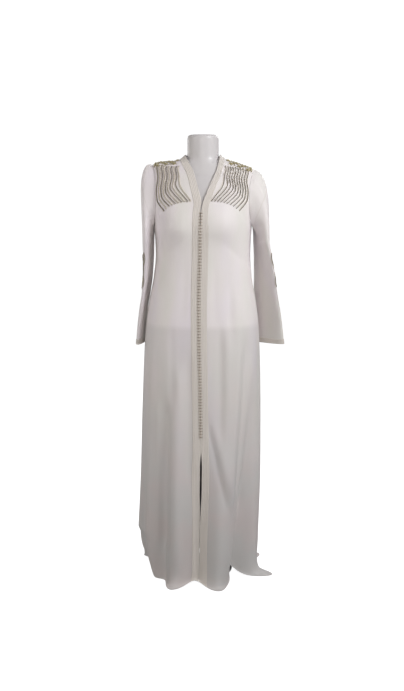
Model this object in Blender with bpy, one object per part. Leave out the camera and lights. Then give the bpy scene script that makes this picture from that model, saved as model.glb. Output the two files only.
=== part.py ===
"""Long kaftan hanging on a limbless dress form, in metres with +Z up.

The front faces -Y and +X is the garment's own left. The origin is on the floor,
under the middle of the stand. Every cloth piece is a thin wall of its own, cut as
a maker would cut it: two fronts, a back, two sleeves, and the braids, cuffs,
knotted buttons and couched strands that are sewn on them.
"""

import math
from collections import namedtuple

import bmesh
import bpy
from mathutils import Vector
from mathutils.bvhtree import BVHTree

# Cloth and seams
CLOTH = 0.0018
SEAM_GAP = 0.0003
HALF_SEAM = 0.0002

# Heights of the gown
ARMPIT = 1.225
V_POINT = 1.300
NECK_TOP = 1.458
BACK_NECK = 1.425
CLOSURE_END = 0.523
SLIT_TOP = 0.475

# Neckline and shoulder: V_BOW over 1 bows the V's edges towards each other.
NECK_SIDE = 0.0575
V_BOW = 1.08
SHOULDER_TIP = 0.168

# The gown's right shoulder sits higher: by how much at its tip, where across that
# starts and how wide it grows, and the height where it starts and how tall it grows.
SHOULDER_LIFT = 0.016
LIFT_START = 0.080
LIFT_WIDE = 0.080
LIFT_FOOT = 1.300
LIFT_TALL = 0.100

# How far both front edges lean to the gown's left.
Lean = namedtuple("Lean", "height across")
FRONT_LEAN = [
    Lean(0.000, 0.0060),
    Lean(0.204, 0.0070),
    Lean(0.311, 0.0078),
    Lean(0.417, 0.0080),
    Lean(0.659, 0.0030),
    Lean(0.830, -0.0025),
    Lean(0.992, -0.0055),
    Lean(1.185, -0.0030),
    Lean(1.280, 0.0000),
    Lean(1.306, 0.0045),
    Lean(1.350, 0.0073),
    Lean(1.400, 0.0100),
    Lean(1.458, 0.0000),
]

# Columns of the panels, and the bodice's rows above the point of the V, as shares of
# the way up
FRONT_COLUMNS = 13
BACK_STEPS = (0.0, 0.07, 0.14, 0.21, 0.28, 0.3423, 0.41, 0.49, 0.57, 0.66, 0.75, 0.84, 0.92, 1.0)
BODICE_SHARES = (0.31, 0.42, 0.54, 0.66, 0.78, 0.90, 1.0)

# Braid along the front edges and the neck
BRAID_WIDTH = 0.026
BRAID_THICK = 0.0014
NECK_BRAID_ROWS = 4
NECK_BRAID_STEPS = 10
NECK_BRAID_START = 0.0016
NECK_BRAID_CLEAR = 0.0011
NECK_BRAID_INSET = 0.001
NECK_BRAID_FLARE = 0.34
NECK_BRAID_DROP = 0.006

# Dress form and its stand
FORM_SIDES = 28
BASE_RADIUS = 0.105
BASE_THICK = 0.008
POLE_RADIUS = 0.0125
FLANGE_RADIUS = 0.030
FLANGE_THICK = 0.012

Section = namedtuple("Section", "height sway half_width front back round")

# Outside of the gown: how far its middle hangs to one side, half width, depth in front
# of and behind the stand's axis, and how square the plan is (2 is an ellipse).
GOWN_SECTIONS = [
    Section(0.000, -0.013, 0.203, 0.146, 0.164, 2.2),
    Section(0.120, -0.012, 0.212, 0.147, 0.166, 2.2),
    Section(0.300, -0.009, 0.212, 0.146, 0.160, 2.2),
    Section(0.550, -0.006, 0.208, 0.143, 0.150, 2.2),
    Section(0.720, -0.004, 0.203, 0.138, 0.143, 2.2),
    Section(0.870, -0.003, 0.195, 0.130, 0.136, 2.2),
    Section(0.960, -0.002, 0.184, 0.124, 0.128, 2.2),
    Section(1.050, -0.001, 0.167, 0.118, 0.116, 2.2),
    Section(1.130, 0.000, 0.160, 0.116, 0.108, 2.2),
    Section(1.225, 0.000, 0.164, 0.117, 0.105, 2.2),
    Section(1.290, 0.000, 0.169, 0.110, 0.106, 2.2),
    Section(1.340, 0.000, 0.172, 0.096, 0.101, 2.1),
    Section(1.375, 0.000, 0.172, 0.080, 0.087, 1.9),
    Section(1.396, 0.000, 0.170, 0.069, 0.075, 1.7),
    Section(1.408, 0.000, 0.168, 0.064, 0.069, 1.6),
    Section(1.419, 0.000, 0.140, 0.061, 0.066, 1.6),
    Section(1.429, 0.000, 0.112, 0.059, 0.063, 1.7),
    Section(1.437, 0.000, 0.0860, 0.058, 0.062, 1.8),
    Section(1.446, 0.000, 0.0695, 0.057, 0.061, 1.9),
    Section(1.452, 0.000, 0.0625, 0.0565, 0.0605, 2.0),
    Section(1.458, 0.000, 0.0575, 0.056, 0.060, 2.0),
]

# Outside of the dress form, from the rounded lower edge to the neck's flat top.
FORM_SECTIONS = [
    Section(0.868, 0.0, 0.142, 0.088, 0.100, 2.2),
    Section(0.874, 0.0, 0.152, 0.097, 0.110, 2.2),
    Section(0.900, 0.0, 0.160, 0.103, 0.116, 2.2),
    Section(0.960, 0.0, 0.164, 0.104, 0.116, 2.2),
    Section(1.030, 0.0, 0.151, 0.098, 0.100, 2.2),
    Section(1.090, 0.0, 0.137, 0.094, 0.087, 2.2),
    Section(1.150, 0.0, 0.144, 0.099, 0.089, 2.2),
    Section(1.225, 0.0, 0.157, 0.108, 0.095, 2.2),
    Section(1.290, 0.0, 0.162, 0.102, 0.098, 2.2),
    Section(1.340, 0.0, 0.165, 0.089, 0.094, 2.1),
    Section(1.375, 0.0, 0.164, 0.073, 0.080, 1.9),
    Section(1.392, 0.0, 0.161, 0.063, 0.069, 1.7),
    Section(1.403, 0.0, 0.158, 0.060, 0.065, 1.6),
    Section(1.415, 0.0, 0.137, 0.057, 0.062, 1.6),
    Section(1.425, 0.0, 0.108, 0.055, 0.059, 1.7),
    Section(1.433, 0.0, 0.0750, 0.053, 0.056, 1.8),
    Section(1.442, 0.0, 0.0580, 0.051, 0.051, 1.9),
    Section(1.452, 0.0, 0.0528, 0.0500, 0.0490, 2.0),
    Section(1.468, 0.0, 0.0522, 0.0498, 0.0490, 2.0),
    Section(1.508, 0.0, 0.0520, 0.0495, 0.0495, 2.0),
    Section(1.516, 0.0, 0.0500, 0.0475, 0.0480, 2.0),
    Section(1.520, 0.0, 0.0450, 0.0425, 0.0430, 2.0),
]

Bust = namedtuple("Bust", "across height width above below depth")
BUST = Bust(across=0.078, height=1.218, width=0.052, above=0.060, below=0.040, depth=0.013)

# Standing folds of the skirt: plan angle at the hem from the front (positive to the
# gown's left), how far the fold has drifted at its top, spread, how far it stands out
# at the hem (in if negative), and the height where it has died out.
Fold = namedtuple("Fold", "angle drift spread depth top")
SKIRT_FOLDS = [
    Fold(-2.0, 0.0, 8.0, -0.020, 0.48),
    Fold(14.0, 5.0, 10.0, 0.032, 0.72),
    Fold(47.0, 24.0, 14.0, -0.056, 0.96),
    Fold(84.0, 0.0, 13.0, -0.003, 0.50),
    Fold(-17.0, -4.0, 10.0, 0.030, 0.88),
    Fold(-35.0, -5.0, 9.0, -0.014, 0.72),
    Fold(-52.0, -4.0, 10.0, 0.010, 0.66),
    Fold(-94.0, 0.0, 17.0, 0.012, 0.42),
    Fold(106.0, 4.0, 9.0, -0.018, 0.66),
    Fold(124.0, 4.0, 11.0, 0.024, 0.84),
    Fold(144.0, 2.0, 8.0, -0.020, 0.74),
    Fold(162.0, 1.0, 10.0, 0.027, 0.88),
    Fold(182.0, 0.0, 9.0, -0.022, 0.80),
    Fold(202.0, -1.0, 11.0, 0.030, 0.90),
    Fold(224.0, -2.0, 9.0, -0.019, 0.70),
    Fold(243.0, -3.0, 10.0, 0.018, 0.78),
]

# How the hem meets the floor: plan angle, spread, how far the cloth runs out on
# the floor (tucks in if negative) and how far the hem is lifted off it.
Hem = namedtuple("Hem", "angle spread spill lift")
HEM_SPILL = 0.010
HEM_SHAPE = [
    Hem(-4.0, 7.0, -0.006, 0.012),
    Hem(13.0, 10.0, 0.012, 0.0),
    Hem(-16.0, 12.0, 0.016, 0.0),
    Hem(46.0, 10.0, -0.010, 0.040),
    Hem(76.0, 10.0, 0.058, 0.0),
    Hem(-76.0, 24.0, -0.080, 0.0),
    Hem(-98.0, 12.0, -0.006, 0.016),
    Hem(124.0, 12.0, 0.018, 0.0),
    Hem(162.0, 12.0, 0.022, 0.0),
    Hem(202.0, 14.0, 0.026, 0.0),
    Hem(243.0, 12.0, 0.006, 0.0),
]

# Rows of the skirt wall near the floor: height, and share of the spill reached. A tuck
# starts higher than a spill does.
HemRow = namedtuple("HemRow", "height share")
HEM_ROWS = [
    HemRow(0.0024, 1.00),
    HemRow(0.0050, 0.66),
    HemRow(0.0140, 0.34),
    HemRow(0.0360, 0.12),
    HemRow(0.0800, 0.02),
]
TUCK_RISE = 0.36
SKIRT_ROWS = (0.15, 0.25, 0.36, 0.48, 0.60, 0.72, 0.82, 0.90, 0.98, 1.05, 1.11, 1.17)
LIFT_REACH = 0.20

# Front edge of the armhole, in the front view.
ArmholeRow = namedtuple("ArmholeRow", "height across")
ARMHOLE = [
    ArmholeRow(1.225, 0.164),
    ArmholeRow(1.238, 0.1600),
    ArmholeRow(1.262, 0.1565),
    ArmholeRow(1.300, 0.1545),
    ArmholeRow(1.345, 0.1550),
    ArmholeRow(1.385, 0.1610),
    ArmholeRow(1.408, 0.168),
]

# Half the gap between the two front edges, below the closure.
SlitRow = namedtuple("SlitRow", "height half_gap")
SLIT = [
    SlitRow(0.000, 0.0018),
    SlitRow(0.060, 0.0016),
    SlitRow(0.130, 0.0014),
    SlitRow(0.240, 0.0014),
    SlitRow(0.340, 0.0034),
    SlitRow(0.420, 0.0034),
    SlitRow(SLIT_TOP, HALF_SEAM),
]

# Sleeves below the shoulder: centre, half the flat width, half the thickness of the
# hollow, and how far the section is turned about the vertical, front edge outwards.
SleeveRow = namedtuple("SleeveRow", "height out aside half_wide half_thick turn")
LEFT_SLEEVE = [
    SleeveRow(1.170, 0.1970, 0.008, 0.072, 0.0210, 16.0),
    SleeveRow(1.120, 0.2010, 0.016, 0.070, 0.0195, 22.0),
    SleeveRow(1.060, 0.2070, 0.028, 0.066, 0.0185, 30.0),
    SleeveRow(1.000, 0.2130, 0.040, 0.064, 0.0175, 37.0),
    SleeveRow(0.940, 0.2185, 0.052, 0.063, 0.0170, 44.0),
    SleeveRow(0.880, 0.2230, 0.064, 0.063, 0.0165, 50.0),
    SleeveRow(0.815, 0.2275, 0.072, 0.064, 0.0165, 56.0),
]
RIGHT_SLEEVE = [
    SleeveRow(1.170, 0.1860, 0.004, 0.072, 0.0180, 1.0),
    SleeveRow(1.120, 0.1870, 0.008, 0.070, 0.0170, 1.0),
    SleeveRow(1.060, 0.1900, 0.012, 0.067, 0.0150, 1.0),
    SleeveRow(1.000, 0.1970, 0.016, 0.064, 0.0130, 2.0),
    SleeveRow(0.940, 0.2070, 0.020, 0.062, 0.0120, 2.0),
    SleeveRow(0.880, 0.2140, 0.024, 0.060, 0.0120, 3.0),
    SleeveRow(0.820, 0.2190, 0.026, 0.058, 0.0120, 4.0),
]
SLEEVES = {1: LEFT_SLEEVE, -1: RIGHT_SLEEVE}
SLEEVE_ROWS = 9

# Columns of a sleeve from the shoulder to each of its two lengthwise seams
SLEEVE_SEAM = 5

# Cap of each sleeve: how far it stands out from the armhole before it falls, how it
# rises or drops there, and the same under the arm.
CAP_ROWS = 7
ARMHOLE_GAP = 0.0006
CAP_REACH = {1: 0.052, -1: 0.060}
CAP_RISE = {1: -0.06, -1: 0.45}
CAP_HANG = 0.46
UNDERARM_FALL = 0.72
UNDERARM_REACH = 0.22
CUFF_WIDTH = 0.018
CUFF_THICK = 0.0012

# Lengthwise creases of the sleeves: angle round the section (0 outside, 90 front),
# spread, depth, and the heights between which they run.
Crease = namedtuple("Crease", "angle spread depth top foot")
SLEEVE_CREASES = [
    Crease(140.0, 26.0, -0.006, 1.21, 0.93),
    Crease(55.0, 22.0, -0.004, 1.24, 1.02),
    Crease(250.0, 28.0, -0.005, 1.20, 0.90),
]
CREASE_START = 0.06
CREASE_END = 0.08

# Couched strands of the yoke, from the shoulder trim down to the breast.
STRANDS = 10
STRAND_WIDE = 0.0036
STRAND_HIGH = 0.0016
STRAND_LIFT = 0.0005
STRAND_POINTS = 16
STRAND_WAVE = 0.0016
STRAND_WAVES = 1.4

# First and last strand of a side: where it starts across and in height, where it ends,
# and the height below which it sweeps to the middle. YOKE_EASE sets how the strands
# between them go from one to the other.
YokeRow = namedtuple("YokeRow", "top head foot foot_height bend")
YOKE_INNER = YokeRow(top=0.076, head=1.418, foot=0.034, foot_height=1.3035, bend=1.383)
YOKE_OUTER = YokeRow(top=0.148, head=1.407, foot=0.124, foot_height=1.274, bend=1.308)
YOKE_EASE = YokeRow(top=1.0, head=1.0, foot=1.0, foot_height=2.5, bend=0.65)
YOKE_SWEEP = 1.5

# Strands round the outer face of each sleeve at the elbow.
SLEEVE_STRANDS = 3
SLEEVE_STRAND_POINTS = 13
SLEEVE_STRAND_TOP = 1.135
SLEEVE_STRAND_FOOT = 1.020
SLEEVE_STRAND_FIRST = 60.0
SLEEVE_STRAND_STEP = 28.0
SLEEVE_STRAND_WAVE = 9.0
SLEEVE_STRAND_DROP = 0.006

# Knotted buttons
BUTTONS = 76
BUTTON_HALF = 0.0044
BUTTON_NECK = 0.0022
BUTTON_HIGH = 0.0036
BUTTON_LOW = 0.0012
BUTTON_CROWN = 0.55
BUTTON_START = 0.028
BUTTON_CLEAR = 0.0004

# Raised metal trim along the shoulder seam
TRIM_START = 0.081
TRIM_END = 0.160
TRIM_STATIONS = 13
TRIM_HALF = 0.0075
TRIM_TALL = 0.0052
TRIM_SHORT = 0.0022
TRIM_WAIST = 0.7
TRIM_CLEAR = 0.0010

Finish = namedtuple("Finish", "name colour roughness metallic")
CREPE = Finish("ivory_crepe", (0.80, 0.76, 0.72), 0.62, 0.0)
BRAID = Finish("woven_braid", (0.76, 0.71, 0.64), 0.55, 0.0)
GOLD = Finish("gold_thread", (0.52, 0.42, 0.22), 0.38, 0.7)
SHELL = Finish("gloss_white", (0.86, 0.86, 0.88), 0.22, 0.0)
STEEL = Finish("satin_steel", (0.62, 0.62, 0.63), 0.32, 1.0)


def clear_scene():
    """Remove whatever the file starts with."""
    for old in list(bpy.data.objects):
        bpy.data.objects.remove(old)


def material(finish):
    """The material of that finish, made once."""
    found = bpy.data.materials.get(finish.name)
    if found:
        return found
    made = bpy.data.materials.new(finish.name)
    made.use_nodes = True
    shader = made.node_tree.nodes["Principled BSDF"]
    shader.inputs["Base Color"].default_value = (*finish.colour, 1.0)
    shader.inputs["Roughness"].default_value = finish.roughness
    shader.inputs["Metallic"].default_value = finish.metallic
    return made


def add_object(name, bm, finish, smooth=40.0):
    """Link the bmesh as one named object with its material and smooth shading."""
    bmesh.ops.recalc_face_normals(bm, faces=bm.faces)
    if bm.calc_volume(signed=True) < 0.0:
        bmesh.ops.reverse_faces(bm, faces=bm.faces)
    mesh = bpy.data.meshes.new(name)
    bm.to_mesh(mesh)
    bm.free()
    mesh.shade_smooth()
    mesh.set_sharp_from_angle(angle=math.radians(smooth))
    mesh.materials.append(material(finish))
    made = bpy.data.objects.new(name, mesh)
    bpy.context.scene.collection.objects.link(made)
    return made


def smoothstep(share):
    """Ease from 0 to 1 with level ends."""
    share = min(1.0, max(0.0, share))
    return share * share * (3.0 - 2.0 * share)


def power(value, exponent):
    """Raise the size of value to the exponent and keep its sign."""
    return math.copysign(abs(value) ** exponent, value)


def slopes(xs, ys):
    """Slopes of a curve through the points that never overshoots them."""
    steps = [(y1 - y0) / (x1 - x0) for x0, x1, y0, y1 in zip(xs, xs[1:], ys, ys[1:])]
    inner = [
        0.0 if a * b <= 0 else 2.0 * a * b / (a + b) for a, b in zip(steps, steps[1:])
    ]
    return [steps[0], *inner, steps[-1]]


def curve_value(xs, ys, x):
    """The value at x of the smooth curve through the points, held level past its ends."""
    if x <= xs[0]:
        return ys[0]
    if x >= xs[-1]:
        return ys[-1]
    i = max(k for k in range(len(xs) - 1) if xs[k] <= x)
    span = xs[i + 1] - xs[i]
    share = (x - xs[i]) / span
    slope = slopes(xs, ys)
    rest = 1.0 - share
    return (
        ys[i] * (1.0 + 2.0 * share) * rest * rest
        + slope[i] * span * share * rest * rest
        + ys[i + 1] * share * share * (3.0 - 2.0 * share)
        - slope[i + 1] * span * share * share * rest
    )


def table_row(table, height):
    """The table's row at any height, between its own rows."""
    rows = sorted(table, key=lambda row: row.height)
    heights = [row.height for row in rows]
    columns = [curve_value(heights, list(column), height) for column in zip(*rows)]
    return type(rows[0])(*columns)


def bump(angle, centre, spread):
    """A smooth hump in plan angle, 1 at its centre."""
    apart = (angle - centre + 180.0) % 360.0 - 180.0
    return math.exp(-((apart / spread) ** 2))


def bust_depth(across, height):
    """How far the breast line stands in front of the plain section."""
    tall = BUST.above if height > BUST.height else BUST.below
    upright = math.exp(-(((height - BUST.height) / tall) ** 2))
    return BUST.depth * upright * sum(
        math.exp(-(((across - side * BUST.across) / BUST.width) ** 2)) for side in (-1, 1)
    )


def section_depth(section, across, behind):
    """Distance from the axis plane to the section's outline, at that place across."""
    share = min(1.0, abs(across) / section.half_width)
    depth = section.back if behind else section.front
    return depth * (1.0 - share**section.round) ** (1.0 / section.round)


def fold_depth(angle, height):
    """How far the skirt's folds stand out of the plain section."""
    out = 0.0
    for fold in SKIRT_FOLDS:
        risen = height / fold.top
        if risen < 1.0:
            centre = fold.angle + fold.drift * risen
            out += fold.depth * smoothstep(1.0 - risen) * bump(angle, centre, fold.spread)
    return out


def hem_shape(angle):
    """(spill, lift) of the hem at a plan angle."""
    spill = HEM_SPILL + sum(h.spill * bump(angle, h.angle, h.spread) for h in HEM_SHAPE)
    lift = sum(h.lift * bump(angle, h.angle, h.spread) for h in HEM_SHAPE)
    return spill, lift


def skirt_point(angle, height, share=0.0):
    """A point on the outside of the gown below the armpits.

    angle is the plan angle in degrees, 0 in front and 90 at the gown's left side.
    share says how much of the hem's spill the row has reached.
    """
    section = table_row(GOWN_SECTIONS, height)
    turn = math.radians(angle)
    across = section.half_width * power(math.sin(turn), 2.0 / section.round)
    depth = section.front if math.cos(turn) > 0 else section.back
    along = -depth * power(math.cos(turn), 2.0 / section.round)
    if along < 0:
        along -= bust_depth(across, height)
    spill, lift = hem_shape(angle)
    outward = Vector((across, along, 0.0)).normalized()
    out = fold_depth(angle, height) + spill * (share if spill > 0.0 else share**TUCK_RISE)
    raised = height + lift * max(0.0, 1.0 - height / LIFT_REACH)
    seam = -HALF_SEAM if along < 0 else HALF_SEAM
    return Vector((across + section.sway, along + seam, raised)) + outward * out


def skirt_rows():
    """(height, share of the spill) of each row of the skirt, from the hem up."""
    return [*HEM_ROWS, *(HemRow(height, 0.0) for height in SKIRT_ROWS)]


def shoulder_height(across):
    """Height of the shoulder line at that place across, found on the gown's sections."""
    low, high = ARMHOLE[-1].height, NECK_TOP
    for _ in range(40):
        middle = (low + high) / 2
        if table_row(GOWN_SECTIONS, middle).half_width > abs(across):
            low = middle
        else:
            high = middle
    return (low + high) / 2


def shoulder_lift(across, height):
    """How much higher the gown's right shoulder sits than its left there."""
    wide = smoothstep((-across - LIFT_START) / LIFT_WIDE)
    return SHOULDER_LIFT * wide * smoothstep((height - LIFT_FOOT) / LIFT_TALL)


def bodice_point(across, height, behind):
    """A point on the outside of the gown above the armpits."""
    section = table_row(GOWN_SECTIONS, height)
    depth = section_depth(section, across, behind)
    raised = height + shoulder_lift(across, height)
    if behind:
        return Vector((across, depth + HALF_SEAM, raised))
    return Vector((across, -depth - bust_depth(across, height) - HALF_SEAM, raised))


def rise(share, top):
    """Height on the bodice, a share of the way from the armpit to the top of its column."""
    return ARMPIT + (top - ARMPIT) * math.sin(math.radians(90.0 * share))


def share_of_rise(height, top):
    """The share of the way up its column at which the bodice reaches a height."""
    return math.degrees(math.asin((height - ARMPIT) / (top - ARMPIT))) / 90.0


def neckline(height):
    """Distance of the front edge from the middle: the slit, the closure or the V."""
    if height <= V_POINT:
        return curve_value([row.height for row in SLIT], [row.half_gap for row in SLIT], height)
    share = (height - V_POINT) / (NECK_TOP - V_POINT)
    return HALF_SEAM + (NECK_SIDE - HALF_SEAM) * share**V_BOW


def front_lean(height):
    """How far the edges of the V lean to the gown's left at that height."""
    return curve_value([row.height for row in FRONT_LEAN], [row.across for row in FRONT_LEAN], height)


def bodice_shares():
    """Rows of the bodice, with one at the point of the V."""
    v_share = share_of_rise(V_POINT, NECK_TOP)
    return (v_share / 2, v_share, *BODICE_SHARES)


def front_angles(section):
    """Plan angles of a front's columns, the second one braid's width from the edge."""
    share = (BRAID_WIDTH / section.half_width) ** (section.round / 2.0)
    second = math.degrees(math.asin(share))
    step = (90.0 - second) / (FRONT_COLUMNS - 2)
    return [0.0, *(second + step * k for k in range(FRONT_COLUMNS - 1))]


def front_grid(side):
    """Rows of outside points of one front panel, from the hem up and the front edge out."""
    rows = []
    for row in [*skirt_rows(), HemRow(ARMPIT, 0.0)]:
        section = table_row(GOWN_SECTIONS, row.height)
        gap = neckline(row.height)
        points = []
        for angle in front_angles(section):
            point = skirt_point(side * angle, row.height, row.share)
            share = abs(point.x - section.sway) / section.half_width
            point.x += (side * gap + front_lean(row.height)) * max(0.0, 1.0 - share)
            points.append(point)
        rows.append(points)
    armpit = rows[-1]
    spread = [(abs(p.x) - HALF_SEAM) / (abs(armpit[-1].x) - HALF_SEAM) for p in armpit]
    for share in bodice_shares():
        edge_height = rise(share, NECK_TOP)
        edge_in = neckline(edge_height) + side * front_lean(edge_height)
        edge_out = armhole_across(rise(share, ARMHOLE[-1].height))
        points = []
        for q in spread:
            q_top = NECK_SIDE + (SHOULDER_TIP - NECK_SIDE) * q
            height = rise(share, shoulder_height(q_top))
            across = edge_in + (edge_out - edge_in) * q
            across = min(across, table_row(GOWN_SECTIONS, height).half_width)
            points.append(bodice_point(side * across, height, behind=False))
        rows.append(points)
    return rows


def armhole_across(height):
    """Distance of the armhole's edge from the middle."""
    return curve_value([row.height for row in ARMHOLE], [row.across for row in ARMHOLE], height)


def back_top(across):
    """Height of the back's top edge: the hollow of the neck, then the shoulder seam."""
    if abs(across) >= NECK_SIDE:
        return shoulder_height(across)
    return BACK_NECK + (NECK_TOP - BACK_NECK) * (across / NECK_SIDE) ** 2


def back_grid():
    """Rows of outside points of the back panel, from the hem up, its left side first."""
    steps = [*reversed(BACK_STEPS), *(-step for step in BACK_STEPS[1:])]
    rows = []
    for row in [*skirt_rows(), HemRow(ARMPIT, 0.0)]:
        points = [skirt_point(180.0 - 90.0 * s, row.height, row.share) for s in steps]
        points[0].y = max(points[0].y, HALF_SEAM)
        points[-1].y = max(points[-1].y, HALF_SEAM)
        rows.append(points)
    spread = [p.x / rows[-1][0].x for p in rows[-1]]
    for share in bodice_shares():
        edge_out = armhole_across(rise(share, ARMHOLE[-1].height))
        points = []
        for q in spread:
            height = rise(share, back_top(q * SHOULDER_TIP))
            half = table_row(GOWN_SECTIONS, height).half_width
            across = max(-half, min(half, q * edge_out))
            points.append(bodice_point(across, height, behind=True))
        rows.append(points)
    return rows


def grid_normals(rows, ring=False):
    """Outward normals of a grid of points, whose columns run counter to its rows."""
    normals = []
    last_row = len(rows) - 1
    last = len(rows[0]) - 1
    for i, row in enumerate(rows):
        line = []
        for j in range(last + 1):
            up = rows[min(i + 1, last_row)][j] - rows[max(i - 1, 0)][j]
            if ring:
                across = row[(j + 1) % (last + 1)] - row[j - 1]
            else:
                across = row[min(j + 1, last)] - row[max(j - 1, 0)]
            line.append(across.cross(up).normalized())
        normals.append(line)
    return normals


def wall(name, outer, inner, finish, ring=False):
    """A closed wall between two grids of points with the same rows and columns."""
    bm = bmesh.new()
    outside = [[bm.verts.new(p) for p in row] for row in outer]
    inside = [[bm.verts.new(p) for p in row] for row in inner]
    columns = len(outer[0])
    pairs = [(j, (j + 1) % columns) for j in range(columns if ring else columns - 1)]
    for low, high in ((k, k + 1) for k in range(len(outer) - 1)):
        for a, b in pairs:
            for sheet in (outside, inside):
                bm.faces.new((sheet[low][a], sheet[low][b], sheet[high][b]))
                bm.faces.new((sheet[low][a], sheet[high][b], sheet[high][a]))
    for k in (0, len(outer) - 1):
        for a, b in pairs:
            bm.faces.new((outside[k][a], outside[k][b], inside[k][b], inside[k][a]))
    if not ring:
        for j in (0, columns - 1):
            for low, high in ((k, k + 1) for k in range(len(outer) - 1)):
                bm.faces.new((outside[low][j], outside[high][j], inside[high][j], inside[low][j]))
    return add_object(name, bm, finish)


def moved(rows, normals, distance):
    """The grid's points moved along their normals."""
    return [
        [p + n * distance for p, n in zip(row, line)] for row, line in zip(rows, normals)
    ]


def panel_normals(rows, edge, sides):
    """Normals of a panel, kept square to the front edge, side and shoulder seams."""
    normals = grid_normals(rows)
    v_row = len(skirt_rows()) + 2
    for line in normals[:v_row] if edge is not None else ():
        line[edge] = Vector((0.0, line[edge].y, line[edge].z)).normalized()
    armpit_row = len(skirt_rows())
    for line in normals[: armpit_row + 1]:
        for j in sides:
            line[j] = Vector((line[j].x, 0.0, line[j].z)).normalized()
    normals[-1] = [
        n if p.y > 2 * HALF_SEAM else Vector((n.x, 0.0, n.z)).normalized()
        for p, n in zip(rows[-1], normals[-1])
    ]
    return normals


def front_panel(side, name):
    """One front, with its grid and normals for what is sewn on it."""
    rows = front_grid(side)
    if side < 0:
        rows = [row[::-1] for row in rows]
    edge = 0 if side > 0 else len(rows[0]) - 1
    normals = panel_normals(rows, edge, [len(rows[0]) - 1 - edge])
    wall(name, rows, moved(rows, normals, -CLOTH), CREPE)
    return rows, normals


def back_panel():
    """The back, in one piece."""
    rows = back_grid()
    normals = panel_normals(rows, None, (0, len(rows[0]) - 1))
    wall("back", rows, moved(rows, normals, -CLOTH), CREPE)
    return rows


def front_braid(side, name, rows, normals):
    """Woven braid on a front's edge and its side of the V, from the panel's own points."""
    pick = slice(0, 2) if side > 0 else slice(-2, None)
    strip = [row[pick] for row in rows]
    lines = [line[pick] for line in normals]
    base = moved(strip, lines, SEAM_GAP)
    top = moved(strip, lines, SEAM_GAP + BRAID_THICK)
    wall(name, top, base, BRAID)
    return top


def surface(rows, ring=False):
    """The outer face of a grid of points, to lay trimmings on."""
    columns = len(rows[0])
    points = [p for row in rows for p in row]
    faces = []
    for k in range(len(rows) - 1):
        for a in range(columns if ring else columns - 1):
            b = (a + 1) % columns
            low, high = k * columns, (k + 1) * columns
            faces.append((low + a, low + b, high + b))
            faces.append((low + a, high + b, high + a))
    return BVHTree.FromPolygons(points, faces)


def laid(tree, target, facing):
    """The place on the surface nearest to the target and its normal on the facing side."""
    place, normal, _, _ = tree.find_nearest(target)
    return place, normal if normal.dot(facing) > 0 else -normal


def settled(places, facing, tree, clear):
    """How far each laid place is lifted, so that nothing spanned between them dips in.

    places is a grid of (place, normal) pairs.
    """
    lifts = [[clear] * len(line) for line in places]
    steps = (0.0, 0.25, 0.5, 0.75, 1.0)
    for _ in range(4):
        for i in range(len(places) - 1):
            for j in range(len(places[0]) - 1):
                cell = [(i, j), (i, j + 1), (i + 1, j), (i + 1, j + 1)]
                a, b, c, d = (places[m][n][0] + places[m][n][1] * lifts[m][n] for m, n in cell)
                short = 0.0
                for u in steps:
                    for v in steps:
                        probe = a.lerp(b, u).lerp(c.lerp(d, u), v)
                        spot, normal = laid(tree, probe, facing)
                        short = max(short, clear * 0.9 - (probe - spot).dot(normal))
                for m, n in cell:
                    lifts[m][n] += short
    return lifts


def neck_braid(rows):
    """Braid round the back of the neck, laid on the back panel's grid."""
    tree = surface(rows)
    facing = Vector((0.0, 0.6, 1.0))
    places = []
    for k in range(NECK_BRAID_ROWS + 1):
        share = k / NECK_BRAID_ROWS
        line = []
        for step in range(-NECK_BRAID_STEPS, NECK_BRAID_STEPS + 1):
            turn = math.radians(90.0 * step / NECK_BRAID_STEPS)
            start = (NECK_SIDE - NECK_BRAID_INSET) * math.sin(turn)
            near_shoulder = (start / NECK_SIDE) ** 2
            across = start * (1.0 + NECK_BRAID_FLARE * share)
            fall = BRAID_WIDTH + NECK_BRAID_DROP * near_shoulder
            height = back_top(start) - NECK_BRAID_INSET - fall * share
            target = bodice_point(across, height, behind=True)
            place, normal = laid(tree, target, facing)
            place.y = max(place.y, NECK_BRAID_START)
            line.append((place, normal))
        places.append(line)
    lifts = settled(places, facing, tree, NECK_BRAID_CLEAR)
    pairs = [list(zip(line, lift)) for line, lift in zip(places, lifts)]
    base = [[place + normal * lift for (place, normal), lift in line] for line in pairs]
    thick = BRAID_THICK
    top = [[place + normal * (lift + thick) for (place, normal), lift in line] for line in pairs]
    wall("neck_braid", top, base, BRAID)


def sleeve_point(side, angle, height):
    """A point on the outside of a sleeve below its cap.

    angle runs round the section: 0 outside, 90 in front, 180 next to the body.
    """
    row = table_row(SLEEVES[side], height)
    turn = math.radians(row.turn)
    outward = Vector((side * math.cos(turn), math.sin(turn), 0.0))
    forward = Vector((side * math.sin(turn), -math.cos(turn), 0.0))
    round_it = math.radians(angle)
    crease = sum(
        c.depth
        * bump(angle, c.angle, c.spread)
        * smoothstep((c.top - height) / CREASE_START)
        * smoothstep((height - c.foot) / CREASE_END)
        for c in SLEEVE_CREASES
    )
    thick = row.half_thick * math.cos(round_it)
    wide = row.half_wide * math.sin(round_it)
    centre = Vector((side * row.out, row.aside, height))
    point = centre + outward * thick + forward * wide
    return point + (point - centre).normalized() * crease


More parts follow.
